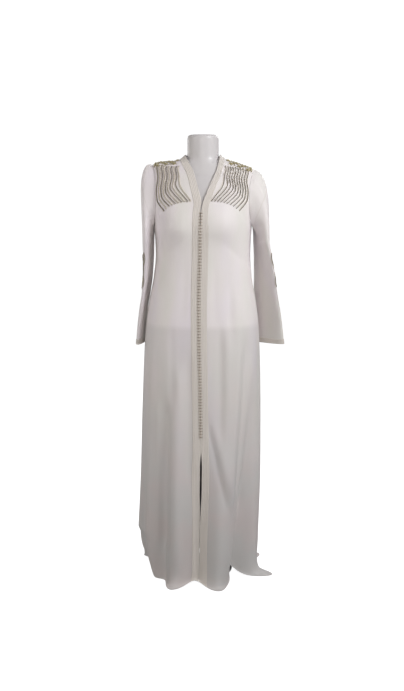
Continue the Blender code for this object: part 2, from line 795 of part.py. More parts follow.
def sleeve_grid(side, front, back):
    """Rings of outside points of a sleeve, from the armhole down to the cuff.

    front and back are the armhole edges of the two panels, from the armpit up.
    """
    loop = [*reversed(front), *back[1:-1]]
    count = len(loop)
    top, foot = SLEEVES[side][0].height, SLEEVES[side][-1].height
    start = [p + Vector((side * ARMHOLE_GAP, 0.0, 0.0)) for p in loop]
    end = [sleeve_point(side, 360.0 * j / count, top) for j in range(count)]
    rings = [start]
    for k in range(1, CAP_ROWS + 1):
        share = k / (CAP_ROWS + 1)
        ring = []
        for j, (a, d) in enumerate(zip(start, end)):
            under = (1.0 - math.cos(2.0 * math.pi * j / count)) / 2.0
            climb = CAP_RISE[side] * (1.0 - under) ** 3 - under
            away = Vector((side * (1.0 - UNDERARM_FALL * under), 0.0, climb)).normalized()
            span = (d - a).length
            b = a + away * (CAP_REACH[side] * (1.0 - under) + UNDERARM_REACH * span * under)
            c = d + Vector((0.0, 0.0, CAP_HANG * span))
            rest = 1.0 - share
            ring.append(
                a * rest**3 + b * 3 * rest**2 * share + c * 3 * rest * share**2 + d * share**3
            )
        rings.append(ring)
    rings.append(end)
    for k in range(1, SLEEVE_ROWS + 1):
        height = top + (foot + CUFF_WIDTH - top) * k / SLEEVE_ROWS
        rings.append([sleeve_point(side, 360.0 * j / count, height) for j in range(count)])
    rings.append([sleeve_point(side, 360.0 * j / count, foot) for j in range(count)])
    return rings


def half_sleeve(name, rings, normals, columns):
    """One half of a sleeve between its two lengthwise seams."""
    rows = [[ring[j] for j in columns] for ring in rings]
    lines = [[line[j] for j in columns] for line in normals]
    for row in rows:
        row[0] = row[0] + (row[1] - row[0]).normalized() * HALF_SEAM
        row[-1] = row[-1] + (row[-2] - row[-1]).normalized() * HALF_SEAM
    wall(name, rows, moved(rows, lines, -CLOTH), CREPE)


def sleeve(side, name, front, back):
    """One sleeve in two halves, with the narrow braid round its cuff."""
    rings = sleeve_grid(side, front, back)
    normals = grid_normals(rings, ring=True)
    centre = sum(rings[-1], Vector()) / len(rings[-1])
    if normals[-1][0].dot(rings[-1][0] - centre) < 0:
        normals = [[-n for n in line] for line in normals]
    seam, count = SLEEVE_SEAM, len(rings[0])
    half_sleeve(f"{name}_outer", rings, normals, range(-seam, seam + 1))
    half_sleeve(f"{name}_inner", rings, normals, range(seam, count - seam + 1))
    cuff, lines = rings[-2:], normals[-2:]
    base = moved(cuff, lines, SEAM_GAP)
    top = moved(cuff, lines, SEAM_GAP + CUFF_THICK)
    wall(name.replace("sleeve", "cuff_braid"), top, base, BRAID, ring=True)
    return rings


def strand(name, targets, tree, facing):
    """A couched strand with a raised back, laid on the cloth through the target points."""
    line = [laid(tree, target, facing) for target in targets]
    last = len(line) - 1
    places = []
    for k, (place, normal) in enumerate(line):
        ahead = line[min(k + 1, last)][0] - line[max(k - 1, 0)][0]
        edge = ahead.cross(normal).normalized() * STRAND_WIDE / 2
        places.append([(place - edge, normal), (place + edge, normal)])
    lifts = settled(places, facing, tree, STRAND_LIFT)
    base, top = [], []
    for (left, right), (low, high) in zip(places, lifts):
        foot = [left[0] + left[1] * low, right[0] + right[1] * high]
        middle = (foot[0] + foot[1]) / 2
        crown = left[1] * STRAND_HIGH
        base.append(foot)
        top.append([p.lerp(middle, 0.5) + crown for p in foot])
    wall(name, top, base, GOLD)


def yoke_row(share):
    """The strand a share of the way from the first to the last."""
    columns = zip(YOKE_INNER, YOKE_OUTER, YOKE_EASE)
    return YokeRow(*(a + (b - a) * share**ease for a, b, ease in columns))


def yoke_strands(side, name, rows):
    """The fan of wavy strands from the shoulder trim to the breast."""
    tree = surface(rows)
    for i in range(STRANDS):
        row = yoke_row(i / (STRANDS - 1))
        crest = shoulder_height(row.top)
        head, foot = share_of_rise(row.head, crest), share_of_rise(row.foot_height, crest)
        targets = []
        for k in range(STRAND_POINTS):
            run = k / (STRAND_POINTS - 1)
            height = rise(head + (foot - head) * run, crest)
            swept = max(0.0, (row.bend - height) / (row.bend - row.foot_height))
            wave = STRAND_WAVE * math.sin(2.0 * math.pi * STRAND_WAVES * run)
            across = row.top + (row.foot - row.top) * swept**YOKE_SWEEP + wave
            targets.append(bodice_point(side * across, height, behind=False))
        strand(f"{name}_{i + 1}", targets, tree, Vector((0.0, -1.0, 1.0)))


def sleeve_strands(side, name, rings):
    """Short strands of the same kind round the outer face of the sleeve."""
    tree = surface(rings, ring=True)
    for i in range(SLEEVE_STRANDS):
        targets = []
        for k in range(SLEEVE_STRAND_POINTS):
            run = k / (SLEEVE_STRAND_POINTS - 1)
            fall = SLEEVE_STRAND_TOP + (SLEEVE_STRAND_FOOT - SLEEVE_STRAND_TOP) * run
            wave = SLEEVE_STRAND_WAVE * math.sin(2.0 * math.pi * STRAND_WAVES * run)
            angle = SLEEVE_STRAND_FIRST - SLEEVE_STRAND_STEP * i + wave
            targets.append(sleeve_point(side, angle, fall - SLEEVE_STRAND_DROP * i))
        strand(f"{name}_{i + 1}", targets, tree, Vector((side, -0.2, 0.0)))


def button_row(left, right):
    """The knotted buttons, standing on a cord that closes the two front edges."""
    line = [(a[0] + b[-1]) / 2 for a, b in zip(left, right)]
    heights = [p.z for p in line]
    depths = [p.y for p in line]
    middles = [p.x for p in line]
    top_z, foot_z = V_POINT - BUTTON_START, CLOSURE_END
    base, top = [], []
    for k in range(2 * BUTTONS + 1):
        height = top_z + (foot_z - top_z) * k / (2 * BUTTONS)
        i = max(n for n in range(len(heights) - 1) if heights[n] <= height)
        share = (height - heights[i]) / (heights[i + 1] - heights[i])
        depth = depths[i] + (depths[i + 1] - depths[i]) * share - BUTTON_CLEAR
        middle = middles[i] + (middles[i + 1] - middles[i]) * share
        knot = k % 2 == 1
        half = BUTTON_HALF if knot else BUTTON_NECK
        high = BUTTON_HIGH if knot else BUTTON_LOW
        crown = half * BUTTON_CROWN
        base.append([Vector((middle + x, depth, height)) for x in (-half, half)])
        top.append([Vector((middle + x, depth - high, height)) for x in (-crown, crown)])
    wall("button_row", top, base, BRAID)


def shoulder_trim(side, name, front_rows, back_rows):
    """Raised metal trim over the shoulder seam, with a row of peaks."""
    trees = {-1: surface(front_rows), 1: surface(back_rows)}
    base, top = [], []
    for k in range(TRIM_STATIONS):
        across = TRIM_START + (TRIM_END - TRIM_START) * k / (TRIM_STATIONS - 1)
        crest = shoulder_height(across)
        crest += shoulder_lift(side * across, crest)
        peak = k % 2 == 1
        high = TRIM_TALL if peak else TRIM_SHORT
        half = TRIM_HALF if peak else TRIM_HALF * TRIM_WAIST
        low, crown = [], []
        for way, reach, share in ((-1, 1.0, 0.35), (-1, 0.5, 1.0), (1, 0.5, 1.0), (1, 1.0, 0.35)):
            target = Vector((side * across, way * half * reach, crest))
            place, normal = laid(trees[way], target, Vector((0.0, 0.0, 1.0)))
            low.append(place + normal * TRIM_CLEAR)
            crown.append(place + normal * (TRIM_CLEAR + high * share))
        base.append(low)
        top.append(crown)
    wall(name, top, base, GOLD)


def form_rings():
    """Rings of the dress form from its lower edge to the top of the neck."""
    rings = []
    for section in FORM_SECTIONS:
        ring = []
        for k in range(FORM_SIDES):
            turn = 2.0 * math.pi * k / FORM_SIDES
            across = section.half_width * power(math.sin(turn), 2.0 / section.round)
            depth = section.front if math.cos(turn) > 0 else section.back
            along = -depth * power(math.cos(turn), 2.0 / section.round)
            if along < 0:
                along -= bust_depth(across, section.height)
            ring.append(Vector((across, along, section.height)))
        rings.append(ring)
    return rings


def dress_form():
    """The limbless torso with its neck, one closed shell filled solid."""
    bm = bmesh.new()
    rings = [[bm.verts.new(p) for p in ring] for ring in form_rings()]
    for low, high in zip(rings, rings[1:]):
        for j in range(len(low)):
            n = (j + 1) % len(low)
            bm.faces.new((low[j], low[n], high[n]))
            bm.faces.new((low[j], high[n], high[j]))
    bm.faces.new(rings[0])
    bm.faces.new(rings[-1])
    add_object("form_torso", bm, SHELL, smooth=60.0)


def turned(name, radius, bottom, top, sides, finish, bevel=0.0):
    """An upright round bar or disc, with a bevelled rim if it has one."""
    bm = bmesh.new()
    bmesh.ops.create_cone(
        bm, cap_ends=True, segments=sides, radius1=radius, radius2=radius, depth=top - bottom
    )
    bmesh.ops.translate(bm, verts=bm.verts, vec=(0.0, 0.0, (top + bottom) / 2))
    if bevel:
        rim = [e for e in bm.edges if all(v.co.z > top - 1e-5 for v in e.verts)]
        bmesh.ops.bevel(bm, geom=rim, offset=bevel, segments=2, affect="EDGES", profile=0.5)
    add_object(name, bm, finish)


def stand():
    """Base plate, pole and the flange that carries the form."""
    under = FORM_SECTIONS[0].height - SEAM_GAP
    flange_foot = under - FLANGE_THICK
    turned("stand_base", BASE_RADIUS, 0.0, BASE_THICK, 40, STEEL, bevel=0.003)
    turned("stand_pole", POLE_RADIUS, BASE_THICK + SEAM_GAP, flange_foot - SEAM_GAP, 16, STEEL)
    turned("stand_flange", FLANGE_RADIUS, flange_foot, under, 20, STEEL, bevel=0.002)


def armhole_edges(front_rows, back_rows, side):
    """The armhole edges of the two panels, from the armpit up to the shoulder."""
    start = len(skirt_rows())
    out_front = -1 if side > 0 else 0
    out_back = 0 if side > 0 else -1
    front = [row[out_front] for row in front_rows[start:]]
    back = [row[out_back] for row in back_rows[start:]]
    return front, back


def main():
    """Build the gown, its trimmings, the dress form and the stand."""
    clear_scene()
    left_rows, left_normals = front_panel(1, "front_left")
    right_rows, right_normals = front_panel(-1, "front_right")
    back_rows = back_panel()
    left_braid = front_braid(1, "front_braid_left", left_rows, left_normals)
    right_braid = front_braid(-1, "front_braid_right", right_rows, right_normals)
    neck_braid(back_rows)
    button_row(left_braid, right_braid)
    for side, label, rows in ((1, "left", left_rows), (-1, "right", right_rows)):
        front_edge, back_edge = armhole_edges(rows, back_rows, side)
        rings = sleeve(side, f"sleeve_{label}", front_edge, back_edge)
        sleeve_strands(side, f"sleeve_strand_{label}", rings)
        shoulder_trim(side, f"shoulder_trim_{label}", rows, back_rows)
        yoke_strands(side, f"yoke_strand_{label}", rows)
    dress_form()
    stand()


main()
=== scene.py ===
"""Long ivory kaftan on a limbless dress form, dressed and lit for its picture.

Metres, +Z up. The front faces -Y and +X is the garment's own left. Each sub-assembly
is a class that holds its sizes, builds its meshes and dresses them.
"""

from __future__ import annotations

import logging
import math
from bisect import bisect_right
from dataclasses import astuple, dataclass, field, fields
from enum import Enum
from typing import Any, Sequence

import bpy
from mathutils import Matrix, Vector, noise
from mathutils.bvhtree import BVHTree

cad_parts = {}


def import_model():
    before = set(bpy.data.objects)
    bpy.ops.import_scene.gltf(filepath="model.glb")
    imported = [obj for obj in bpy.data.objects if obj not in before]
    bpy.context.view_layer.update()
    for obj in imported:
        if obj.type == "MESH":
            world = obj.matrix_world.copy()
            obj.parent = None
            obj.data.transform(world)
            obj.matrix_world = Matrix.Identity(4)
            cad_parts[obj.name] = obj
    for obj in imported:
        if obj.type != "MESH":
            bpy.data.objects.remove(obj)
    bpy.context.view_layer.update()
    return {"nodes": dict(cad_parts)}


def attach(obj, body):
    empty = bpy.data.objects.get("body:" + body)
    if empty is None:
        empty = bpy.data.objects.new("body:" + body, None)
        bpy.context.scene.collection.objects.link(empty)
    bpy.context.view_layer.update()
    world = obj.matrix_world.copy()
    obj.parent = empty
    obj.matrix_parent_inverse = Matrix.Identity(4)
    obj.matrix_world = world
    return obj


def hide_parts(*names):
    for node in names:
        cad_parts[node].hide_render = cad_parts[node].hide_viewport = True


LOG = logging.getLogger("kaftan")
BODY = "root"
Rows = list[list[Vector]]
Colour = tuple[float, float, float]


class Side(Enum):
    """A half of the gown, by the sign of its X."""

    LEFT = 1
    RIGHT = -1

    @property
    def label(self) -> str:
        """The side's name as the nodes spell it."""
        return self.name.lower()


class Edge(Enum):
    """How a grid of cloth ends across: cut edges, or closed to a tube."""

    CUT = "cut"
    TUBE = "tube"


# Shader graph.


class Signal:
    """A shader value; its operators add Math nodes."""

    def __init__(self, graph: Graph, socket: Any) -> None:
        """Keep the graph and the socket that carries the value."""
        self.graph = graph
        self.socket = socket

    def math(self, operation: str, *others: Any, clamp: bool = False) -> Signal:
        """One Math node fed with this value and the others.

        Args:
            operation: Name of the Math node's operation.
            others: Numbers or signals for its further inputs.
            clamp: Whether the result is held between 0 and 1.

        Returns:
            The result.
        """
        settings = {"operation": operation, "use_clamp": clamp}
        inputs = dict(enumerate((self, *others)))
        made = self.graph.node("ShaderNodeMath", settings, inputs)
        return Signal(self.graph, made.outputs[0])

    def __add__(self, other: Any) -> Signal:
        """This value plus the other."""
        return self.math("ADD", other)

    def __sub__(self, other: Any) -> Signal:
        """This value less the other."""
        return self.math("SUBTRACT", other)

    def __rsub__(self, other: Any) -> Signal:
        """The other less this value."""
        return self.math("MULTIPLY_ADD", -1.0, other)

    def __mul__(self, other: Any) -> Signal:
        """This value times the other."""
        return self.math("MULTIPLY", other)

    def __truediv__(self, other: Any) -> Signal:
        """This value over the other."""
        return self.math("DIVIDE", other)

    __radd__ = __add__
    __rmul__ = __mul__

    def wave(self, pitch: float) -> Signal:
        """A sine between 0 and 1 that repeats every pitch metres."""
        return (self * (2.0 * math.pi / pitch)).math("SINE") * 0.5 + 0.5

    def saw(self, pitch: float) -> Signal:
        """The part of each pitch that is passed, from 0 to 1."""
        return (self / pitch).math("FRACT")

    def size(self) -> Signal:
        """The value without its sign."""
        return self.math("ABSOLUTE")

    def held(self) -> Signal:
        """The value held between 0 and 1."""
        return self.math("ADD", 0.0, clamp=True)

    def near(self, place: float, reach: float) -> Signal:
        """1 at the place, falling to 0 within the reach on both sides."""
        return (1.0 - (self - place).size() / reach).held()


class Graph:
    """The nodes of one material, each made by one method."""

    def __init__(self, name: str) -> None:
        """Make the material with its plain shader."""
        self.material = bpy.data.materials.new(name)
        self.material.use_nodes = True
        self.tree = self.material.node_tree
        self.shader = self.tree.nodes["Principled BSDF"]

    def node(self, kind: str, settings: dict[str, Any], inputs: dict[Any, Any]) -> Any:
        """Add one node.

        Args:
            kind: The node's type.
            settings: Its own settings, set before its inputs.
            inputs: Values, sockets or signals by the name or number of the input.

        Returns:
            The node.
        """
        made = self.tree.nodes.new(kind)
        for key, value in settings.items():
            setattr(made, key, value)
        for key, value in inputs.items():
            self.feed(made.inputs[key], value)
        return made

    def feed(self, target: Any, value: Any) -> None:
        """Link or set one input.

        Args:
            target: The input socket.
            value: A signal, a socket, a number or a colour.
        """
        if isinstance(value, Signal):
            value = value.socket
        if isinstance(value, bpy.types.NodeSocket):
            self.tree.links.new(value, target)
        elif isinstance(value, tuple) and len(value) == 3 and target.type == "RGBA":
            target.default_value = (*value, 1.0)
        else:
            target.default_value = value

    def place(self, output: str) -> Any:
        """The socket of one set of texture coordinates."""
        return self.node("ShaderNodeTexCoord", {}, {}).outputs[output]

    def split(self, vector: Any) -> tuple[Signal, Signal, Signal]:
        """The three parts of a vector."""
        parts = self.node("ShaderNodeSeparateXYZ", {}, {0: vector}).outputs
        return tuple(Signal(self, part) for part in parts)

    def stretched(self, vector: Any, scale: Colour) -> Any:
        """The coordinates times a scale along each axis."""
        return self.node("ShaderNodeMapping", {}, {"Vector": vector, "Scale": scale}).outputs[0]

    def noise(self, vector: Any, scale: float, detail: float = 2.0) -> Signal:
        """Noise between 0 and 1, its grain 1/scale metres."""
        inputs = {"Vector": vector, "Scale": scale, "Detail": detail, "Roughness": 0.55}
        return Signal(self, self.node("ShaderNodeTexNoise", {}, inputs).outputs[0])

    def attribute(self, name: str) -> Signal:
        """A number kept on the mesh's own points."""
        made = self.node("ShaderNodeAttribute", {"attribute_name": name}, {})
        return Signal(self, made.outputs["Fac"])

    def blend(self, share: Any, first: Any, second: Any) -> Any:
        """The colour a share of the way from the first to the second."""
        inputs = {0: share, 6: first, 7: second}
        return self.node("ShaderNodeMix", {"data_type": "RGBA"}, inputs).outputs[2]

    def relief(self, height: Signal, distance: float) -> None:
        """Give the shader a bump of that height in metres."""
        bump = self.node("ShaderNodeBump", {}, {"Height": height, "Distance": distance, "Strength": 1.0})
        self.feed(self.shader.inputs["Normal"], bump.outputs["Normal"])

    def dress(self, values: dict[str, Any]) -> bpy.types.Material:
        """Set the shader's own inputs and return the material."""
        for key, value in values.items():
            self.feed(self.shader.inputs[key], value)
        return self.material


# Finishes.


@dataclass(frozen=True)
class CrepeFinish:
    """Ivory crepe: a pebbled weave, a soft satin sheen, painted shade where nothing backs the sheer
    cloth, darkest towards the hem, and painted shade along the hem's fold.
    """

    name: str = "ivory_crepe"
    light: Colour = (0.86, 0.81, 0.795)
    shade: Colour = (0.80, 0.745, 0.72)
    lilac: Colour = (0.84, 0.775, 0.81)
    olive: Colour = (0.79, 0.77, 0.71)
    # Painted shade: colours standing for the shaded inside of the gown seen through the sheer cloth.
    unbacked: Colour = (0.595, 0.54, 0.525)
    unbacked_cool: Colour = (0.57, 0.55, 0.535)
    thread: float = 0.0009
    hem: float = 0.020

    def make(self) -> bpy.types.Material:
        """Build the material.

        Returns:
            The crepe.
        """
        graph = Graph(self.name)
        along, up, _ = graph.split(graph.place("UV"))
        solid = graph.place("Object")
        cloud = graph.noise(solid, 7.0, 3.0)
        drift = graph.noise(graph.stretched(solid, (9.0, 9.0, 2.2)), 1.0, 2.0)
        slub = graph.noise(graph.stretched(solid, (330.0, 330.0, 26.0)), 1.0, 2.0)
        pebble = graph.noise(solid, 1150.0, 2.0)
        weave = along.wave(self.thread) * up.wave(self.thread)
        stitch = up.near(self.hem, 0.0007) * (0.62 - along.saw(0.0042)).math("GREATER_THAN", 0.0)
        # The hem's fold: a bump, with painted shade along it in the colour.
        hem_fold_and_shade = up.near(self.hem, 0.0016)
        tone = graph.blend((cloud * 0.7 + slub * 0.5 - 0.15).held(), self.light, self.shade)
        tone = graph.blend(((drift - 0.5) * 5.0).held(), tone, self.lilac)
        tone = graph.blend(((0.5 - drift) * 5.0).held(), tone, self.olive)
        # Painted shade where nothing backs the cloth, its hue varied at random; the mesh's point
        # attribute gives its share.
        inner_shade_paint = graph.blend(((cloud - 0.4) * 5.0).held(), self.unbacked, self.unbacked_cool)
        tone = graph.blend(graph.attribute("unbacked"), tone, inner_shade_paint)
        # Stitching thread's own colour at the hem, and painted shade along the hem's fold.
        tone = graph.blend((stitch * 0.3 + hem_fold_and_shade * 0.12).held(), tone, (0.62, 0.55, 0.47))
        graph.relief(pebble * 0.6 + slub * 0.35 + weave * 0.35 - hem_fold_and_shade * 1.2 + stitch, 0.00022)
        return graph.dress(
            {
                "Base Color": tone,
                "Roughness": (pebble * 0.14 + slub * 0.06 + 0.40).held(),
                "Sheen Weight": 0.22,
                "Sheen Roughness": 0.45,
                "Specular IOR Level": 0.42,
            }
        )


@dataclass(frozen=True)
class BraidFinish:
    """Woven braid: lengthwise cords crossed by slanting stitches, with painted shade in the grooves
    between the cords.
    """

    name: str = "woven_braid"
    light: Colour = (0.77, 0.71, 0.655)
    dark: Colour = (0.64, 0.58, 0.515)
    cord: float = 0.0052
    stitch: float = 0.0024

    def make(self) -> bpy.types.Material:
        """Build the material.

        Returns:
            The braid.
        """
        graph = Graph(self.name)
        across, along, _ = graph.split(graph.place("UV"))
        solid = graph.place("Object")
        fleck = graph.noise(solid, 900.0, 2.0)
        age = graph.noise(solid, 16.0, 3.0)
        cord = across.saw(self.cord)
        chevron = (along + (cord - 0.5).size() * self.stitch * 1.4).wave(self.stitch)
        groove_and_shade = (1.0 - (cord - 0.5).size() * 2.0).near(0.0, 0.22)
        tone = graph.blend((chevron * 0.34 + fleck * 0.3 - 0.08).held(), self.light, self.dark)
        # Painted shade in the grooves between the lengthwise cords.
        tone = graph.blend(groove_and_shade * 0.6, tone, (0.50, 0.445, 0.385))
        tone = graph.blend((age * 0.5 - 0.1).held(), tone, (0.83, 0.785, 0.74))
        graph.relief(chevron * 0.8 + fleck * 0.3 - groove_and_shade * 1.2, 0.00035)
        return graph.dress(
            {
                "Base Color": tone,
                "Roughness": (fleck * 0.16 + 0.44).held(),
                "Sheen Weight": 0.18,
                "Sheen Roughness": 0.5,
            }
        )


@dataclass(frozen=True)
class CordFinish:
    """Silk or metal thread wound round a core."""

    name: str
    light: Colour
    dark: Colour
    metal: float
    roughness: float
    grain: float = 1500.0

    def make(self) -> bpy.types.Material:
        """Build the material.

        Returns:
            The thread.
        """
        graph = Graph(self.name)
        solid = graph.place("Object")
        fine = graph.noise(graph.stretched(solid, (1.0, 1.0, 1.7)), self.grain, 2.0)
        worn = graph.noise(solid, 55.0, 3.0)
        tone = graph.blend((worn * 1.3 - 0.25).held(), self.light, self.dark)
        tone = graph.blend(fine * 0.3, tone, self.dark)
        graph.relief(fine, 0.00016)
        return graph.dress(
            {
                "Base Color": tone,
                "Roughness": (worn * 0.2 + fine * 0.12 + self.roughness - 0.12).held(),
                "Metallic": self.metal,
            }
        )


@dataclass(frozen=True)
class ShellFinish:
    """Glossy white moulded shell with a faint orange-peel surface."""

    name: str = "gloss_white"
    light: Colour = (0.67, 0.64, 0.635)
    dark: Colour = (0.61, 0.58, 0.57)

    def make(self) -> bpy.types.Material:
        """Build the material.

        Returns:
            The shell.
        """
        graph = Graph(self.name)
        solid = graph.place("Object")
        peel = graph.noise(solid, 210.0, 1.0)
        dust = graph.noise(solid, 24.0, 4.0)
        graph.relief(peel, 0.00006)
        return graph.dress(
            {
                "Base Color": graph.blend((dust * 0.8 - 0.2).held(), self.light, self.dark),
                "Roughness": (dust * 0.14 + 0.34).held(),
                "Coat Weight": 0.15,
                "Coat Roughness": 0.25,
            }
        )


@dataclass(frozen=True)
class SteelFinish:
    """Satin steel, brushed, with faint handling marks."""

    name: str
    brushing: Colour
    colour: Colour = (0.60, 0.60, 0.61)

    def make(self) -> bpy.types.Material:
        """Build the material.

        Returns:
            The steel.
        """
        graph = Graph(self.name)
        solid = graph.place("Object")
        lines = graph.noise(graph.stretched(solid, self.brushing), 1.0, 2.0)
        marks = graph.noise(solid, 38.0, 4.0)
        graph.relief(lines, 0.00003)
        return graph.dress(
            {
                "Base Color": graph.blend((marks * 0.7).held(), self.colour, (0.47, 0.47, 0.48)),
                "Roughness": (lines * 0.16 + marks * 0.14 + 0.18).held(),
                "Metallic": 1.0,
            }
        )


@dataclass(frozen=True)
class FloorFinish:
    """Pale studio paper, lit so evenly that it glows a little."""

    name: str = "studio_paper"
    light: Colour = (0.46, 0.46, 0.46)
    dark: Colour = (0.42, 0.42, 0.42)
    glow: float = 0.97

    def make(self) -> bpy.types.Material:
        """Build the material.

        Returns:
            The paper.
        """
        graph = Graph(self.name)
        tooth = graph.noise(graph.place("Object"), 420.0, 2.0)
        graph.relief(tooth, 0.0001)
        return graph.dress(
            {
                "Base Color": graph.blend(tooth * 0.5, self.light, self.dark),
                "Roughness": 0.9,
                "Specular IOR Level": 0.1,
                "Emission Color": (1.0, 1.0, 1.0),
                "Emission Strength": self.glow,
            }
        )


class Finishes:
    """Every material, made once."""

    def __init__(self) -> None:
        """Make each finish of the gown, the form, the stand and the studio."""
        self.crepe = CrepeFinish().make()
        self.braid = BraidFinish().make()
        self.gold = CordFinish(
            "antique_gold_cord", (0.36, 0.315, 0.25), (0.20, 0.175, 0.14), 0.35, 0.46
        ).make()
        self.pale_gold = CordFinish(
            "pale_gold_thread", (0.74, 0.68, 0.58), (0.58, 0.52, 0.42), 0.15, 0.48
        ).make()
        self.bead = CordFinish(
            "gold_bead", (0.56, 0.50, 0.32), (0.36, 0.30, 0.18), 0.45, 0.36, 700.0
        ).make()
        self.silk = CordFinish("knot_silk", (0.50, 0.43, 0.36), (0.36, 0.305, 0.25), 0.0, 0.5).make()
        self.shell = ShellFinish().make()
        self.plate = SteelFinish("plate_steel", (40.0, 900.0, 40.0)).make()
        self.pole = SteelFinish("pole_steel", (160.0, 160.0, 1400.0)).make()
        self.floor = FloorFinish().make()


# Numbers.


def smoothstep(share: float) -> float:
    """Ease from 0 to 1 with level ends."""
    share = min(1.0, max(0.0, share))
    return share * share * (3.0 - 2.0 * share)


def signed_power(value: float, exponent: float) -> float:
    """The size of the value raised to the exponent, with its sign kept."""
    return math.copysign(abs(value) ** exponent, value)


def hump(angle: float, centre: float, spread: float) -> float:
    """A smooth hump in plan angle, 1 at its centre."""
    apart = (angle - centre + 180.0) % 360.0 - 180.0
    return math.exp(-((apart / spread) ** 2))


class Profile:
    """A table of sizes by height, read smoothly between its rows."""

    def __init__(self, rows: Sequence[Any]) -> None:
        """Sort the rows and find the slopes of each column.

        Args:
            rows: Dataclass rows whose first field is the height.
        """
        ordered = sorted(rows, key=lambda row: row.height)
        names = [f.name for f in fields(ordered[0])]
        self.kind = type(ordered[0])
        self.columns = [[getattr(row, name) for row in ordered] for name in names]
        self.heights = self.columns[0]
        self.tangents = [self.slopes(column) for column in self.columns]
        self.known: dict[float, Any] = {}

    def slopes(self, values: list[float]) -> list[float]:
        """Slopes of one column that never overshoot its values."""
        xs = self.heights
        steps = [(b - a) / (x1 - x0) for x0, x1, a, b in zip(xs, xs[1:], values, values[1:])]
        inner = [0.0 if a * b <= 0 else 2 * a * b / (a + b) for a, b in zip(steps, steps[1:])]
        return [steps[0], *inner, steps[-1]]

    def at(self, height: float) -> Any:
        """The row at any height, held level past the table's ends.

        Args:
            height: Metres above the floor.

        Returns:
            A row of the table's own kind.
        """
        found = self.known.get(height)
        if found is None:
            found = self.kind(*self.blended(height))
            self.known[height] = found
        return found

    def blended(self, height: float) -> list[float]:
        """The values of every column at a height."""
        xs = self.heights
        if height <= xs[0]:
            return [column[0] for column in self.columns]
        if height >= xs[-1]:
            return [column[-1] for column in self.columns]
        i = bisect_right(xs, height) - 1
        span = xs[i + 1] - xs[i]
        t = (height - xs[i]) / span
        r = 1.0 - t
        return [
            ys[i] * (1.0 + 2.0 * t) * r * r
            + ms[i] * span * t * r * r
            + ys[i + 1] * t * t * (3.0 - 2.0 * t)
            - ms[i + 1] * span * t * t * r
            for ys, ms in zip(self.columns, self.tangents)
        ]


# Shape of the gown.


def rows_of(kind: type, *rows: tuple[float, ...]) -> tuple[Any, ...]:
    """Rows of one kind from their bare values."""
    return tuple(kind(*row) for row in rows)


@dataclass(frozen=True)
class Bust:
    """Breast line of the form and the gown over it."""

    across: float = 0.078
    height: float = 1.218
    width: float = 0.052
    above: float = 0.060
    below: float = 0.040
    depth: float = 0.013

    def stands(self, across: float, height: float) -> float:
        """How far the breast line stands in front of the plain section."""
        tall = self.above if height > self.height else self.below
        upright = math.exp(-(((height - self.height) / tall) ** 2))
        sides = (self.across, -self.across)
        return self.depth * upright * sum(math.exp(-(((across - c) / self.width) ** 2)) for c in sides)


@dataclass(frozen=True)
class Section:
    """The plan at one height: sway, half width, depth in front and behind, squareness."""

    height: float
    sway: float
    half_width: float
    front: float
    back: float
    square: float

    def rim(self, turn: float, height: float, bust: Bust) -> tuple[float, float]:
        """A point of the outline, with the breast line over it.

        Args:
            turn: Plan angle in radians, 0 in front.
            height: Metres above the floor.
            bust: The breast line.

        Returns:
            Its distance across and along.
        """
        across = self.half_width * signed_power(math.sin(turn), 2.0 / self.square)
        depth = self.front if math.cos(turn) > 0 else self.back
        along = -depth * signed_power(math.cos(turn), 2.0 / self.square)
        if along < 0:
            along -= bust.stands(across, height)
        return across, along


@dataclass(frozen=True)
class StandingFold:
    """A fold of the skirt: plan angle, drift towards its top, spread, depth and top."""

    angle: float
    drift: float
    spread: float
    depth: float
    top: float


@dataclass(frozen=True)
class HemLobe:
    """Where the hem runs out on the floor, tucks in, or is lifted."""

    angle: float
    spread: float
    spill: float
    lift: float


@dataclass(frozen=True)
class HeightValue:
    """One number at one height."""

    height: float
    value: float


@dataclass(frozen=True)
class SleeveStation:
    """A section of a sleeve: centre, half width and thickness, and its turn."""

    height: float
    out: float
    aside: float
    half_wide: float
    half_thick: float
    turn: float


@dataclass(frozen=True)
class SleeveCrease:
    """A lengthwise crease of a sleeve, by its angle round the section."""

    angle: float
    spread: float
    depth: float
    top: float
    foot: float


@dataclass(frozen=True)
class Ripple:
    """Noise folds: waves a metre across and up, and where the noise is read from."""

    across: float
    up: float
    shift_x: float = 0.0
    shift_y: float = 0.0

    def at(self, place: Vector) -> float:
        """The noise at a place, about -1 to 1."""
        x, y = place.x * self.across + self.shift_x, place.y * self.across + self.shift_y
        return noise.noise(Vector((x, y, place.z * self.up)))


@dataclass(frozen=True)
class FoldLine:
    """A soft fold across a front, as a line in the front view; under 0 it is pressed in."""

    x0: float
    z0: float
    x1: float
    z1: float
    width: float
    depth: float

    def at(self, x: float, z: float) -> float:
        """How far the cloth stands out at that place of the front view."""
        dx, dz = self.x1 - self.x0, self.z1 - self.z0
        length = math.hypot(dx, dz)
        along = ((x - self.x0) * dx + (z - self.z0) * dz) / length
        off = ((x - self.x0) * dz - (z - self.z0) * dx) / length
        if abs(off) > 3.0 * self.width or not -0.05 < along < length + 0.05:
            return 0.0
        ends = smoothstep((along + 0.03) / 0.09) * smoothstep((length - along + 0.03) / 0.09)
        return self.depth * ends * math.exp(-((off / self.width) ** 2))


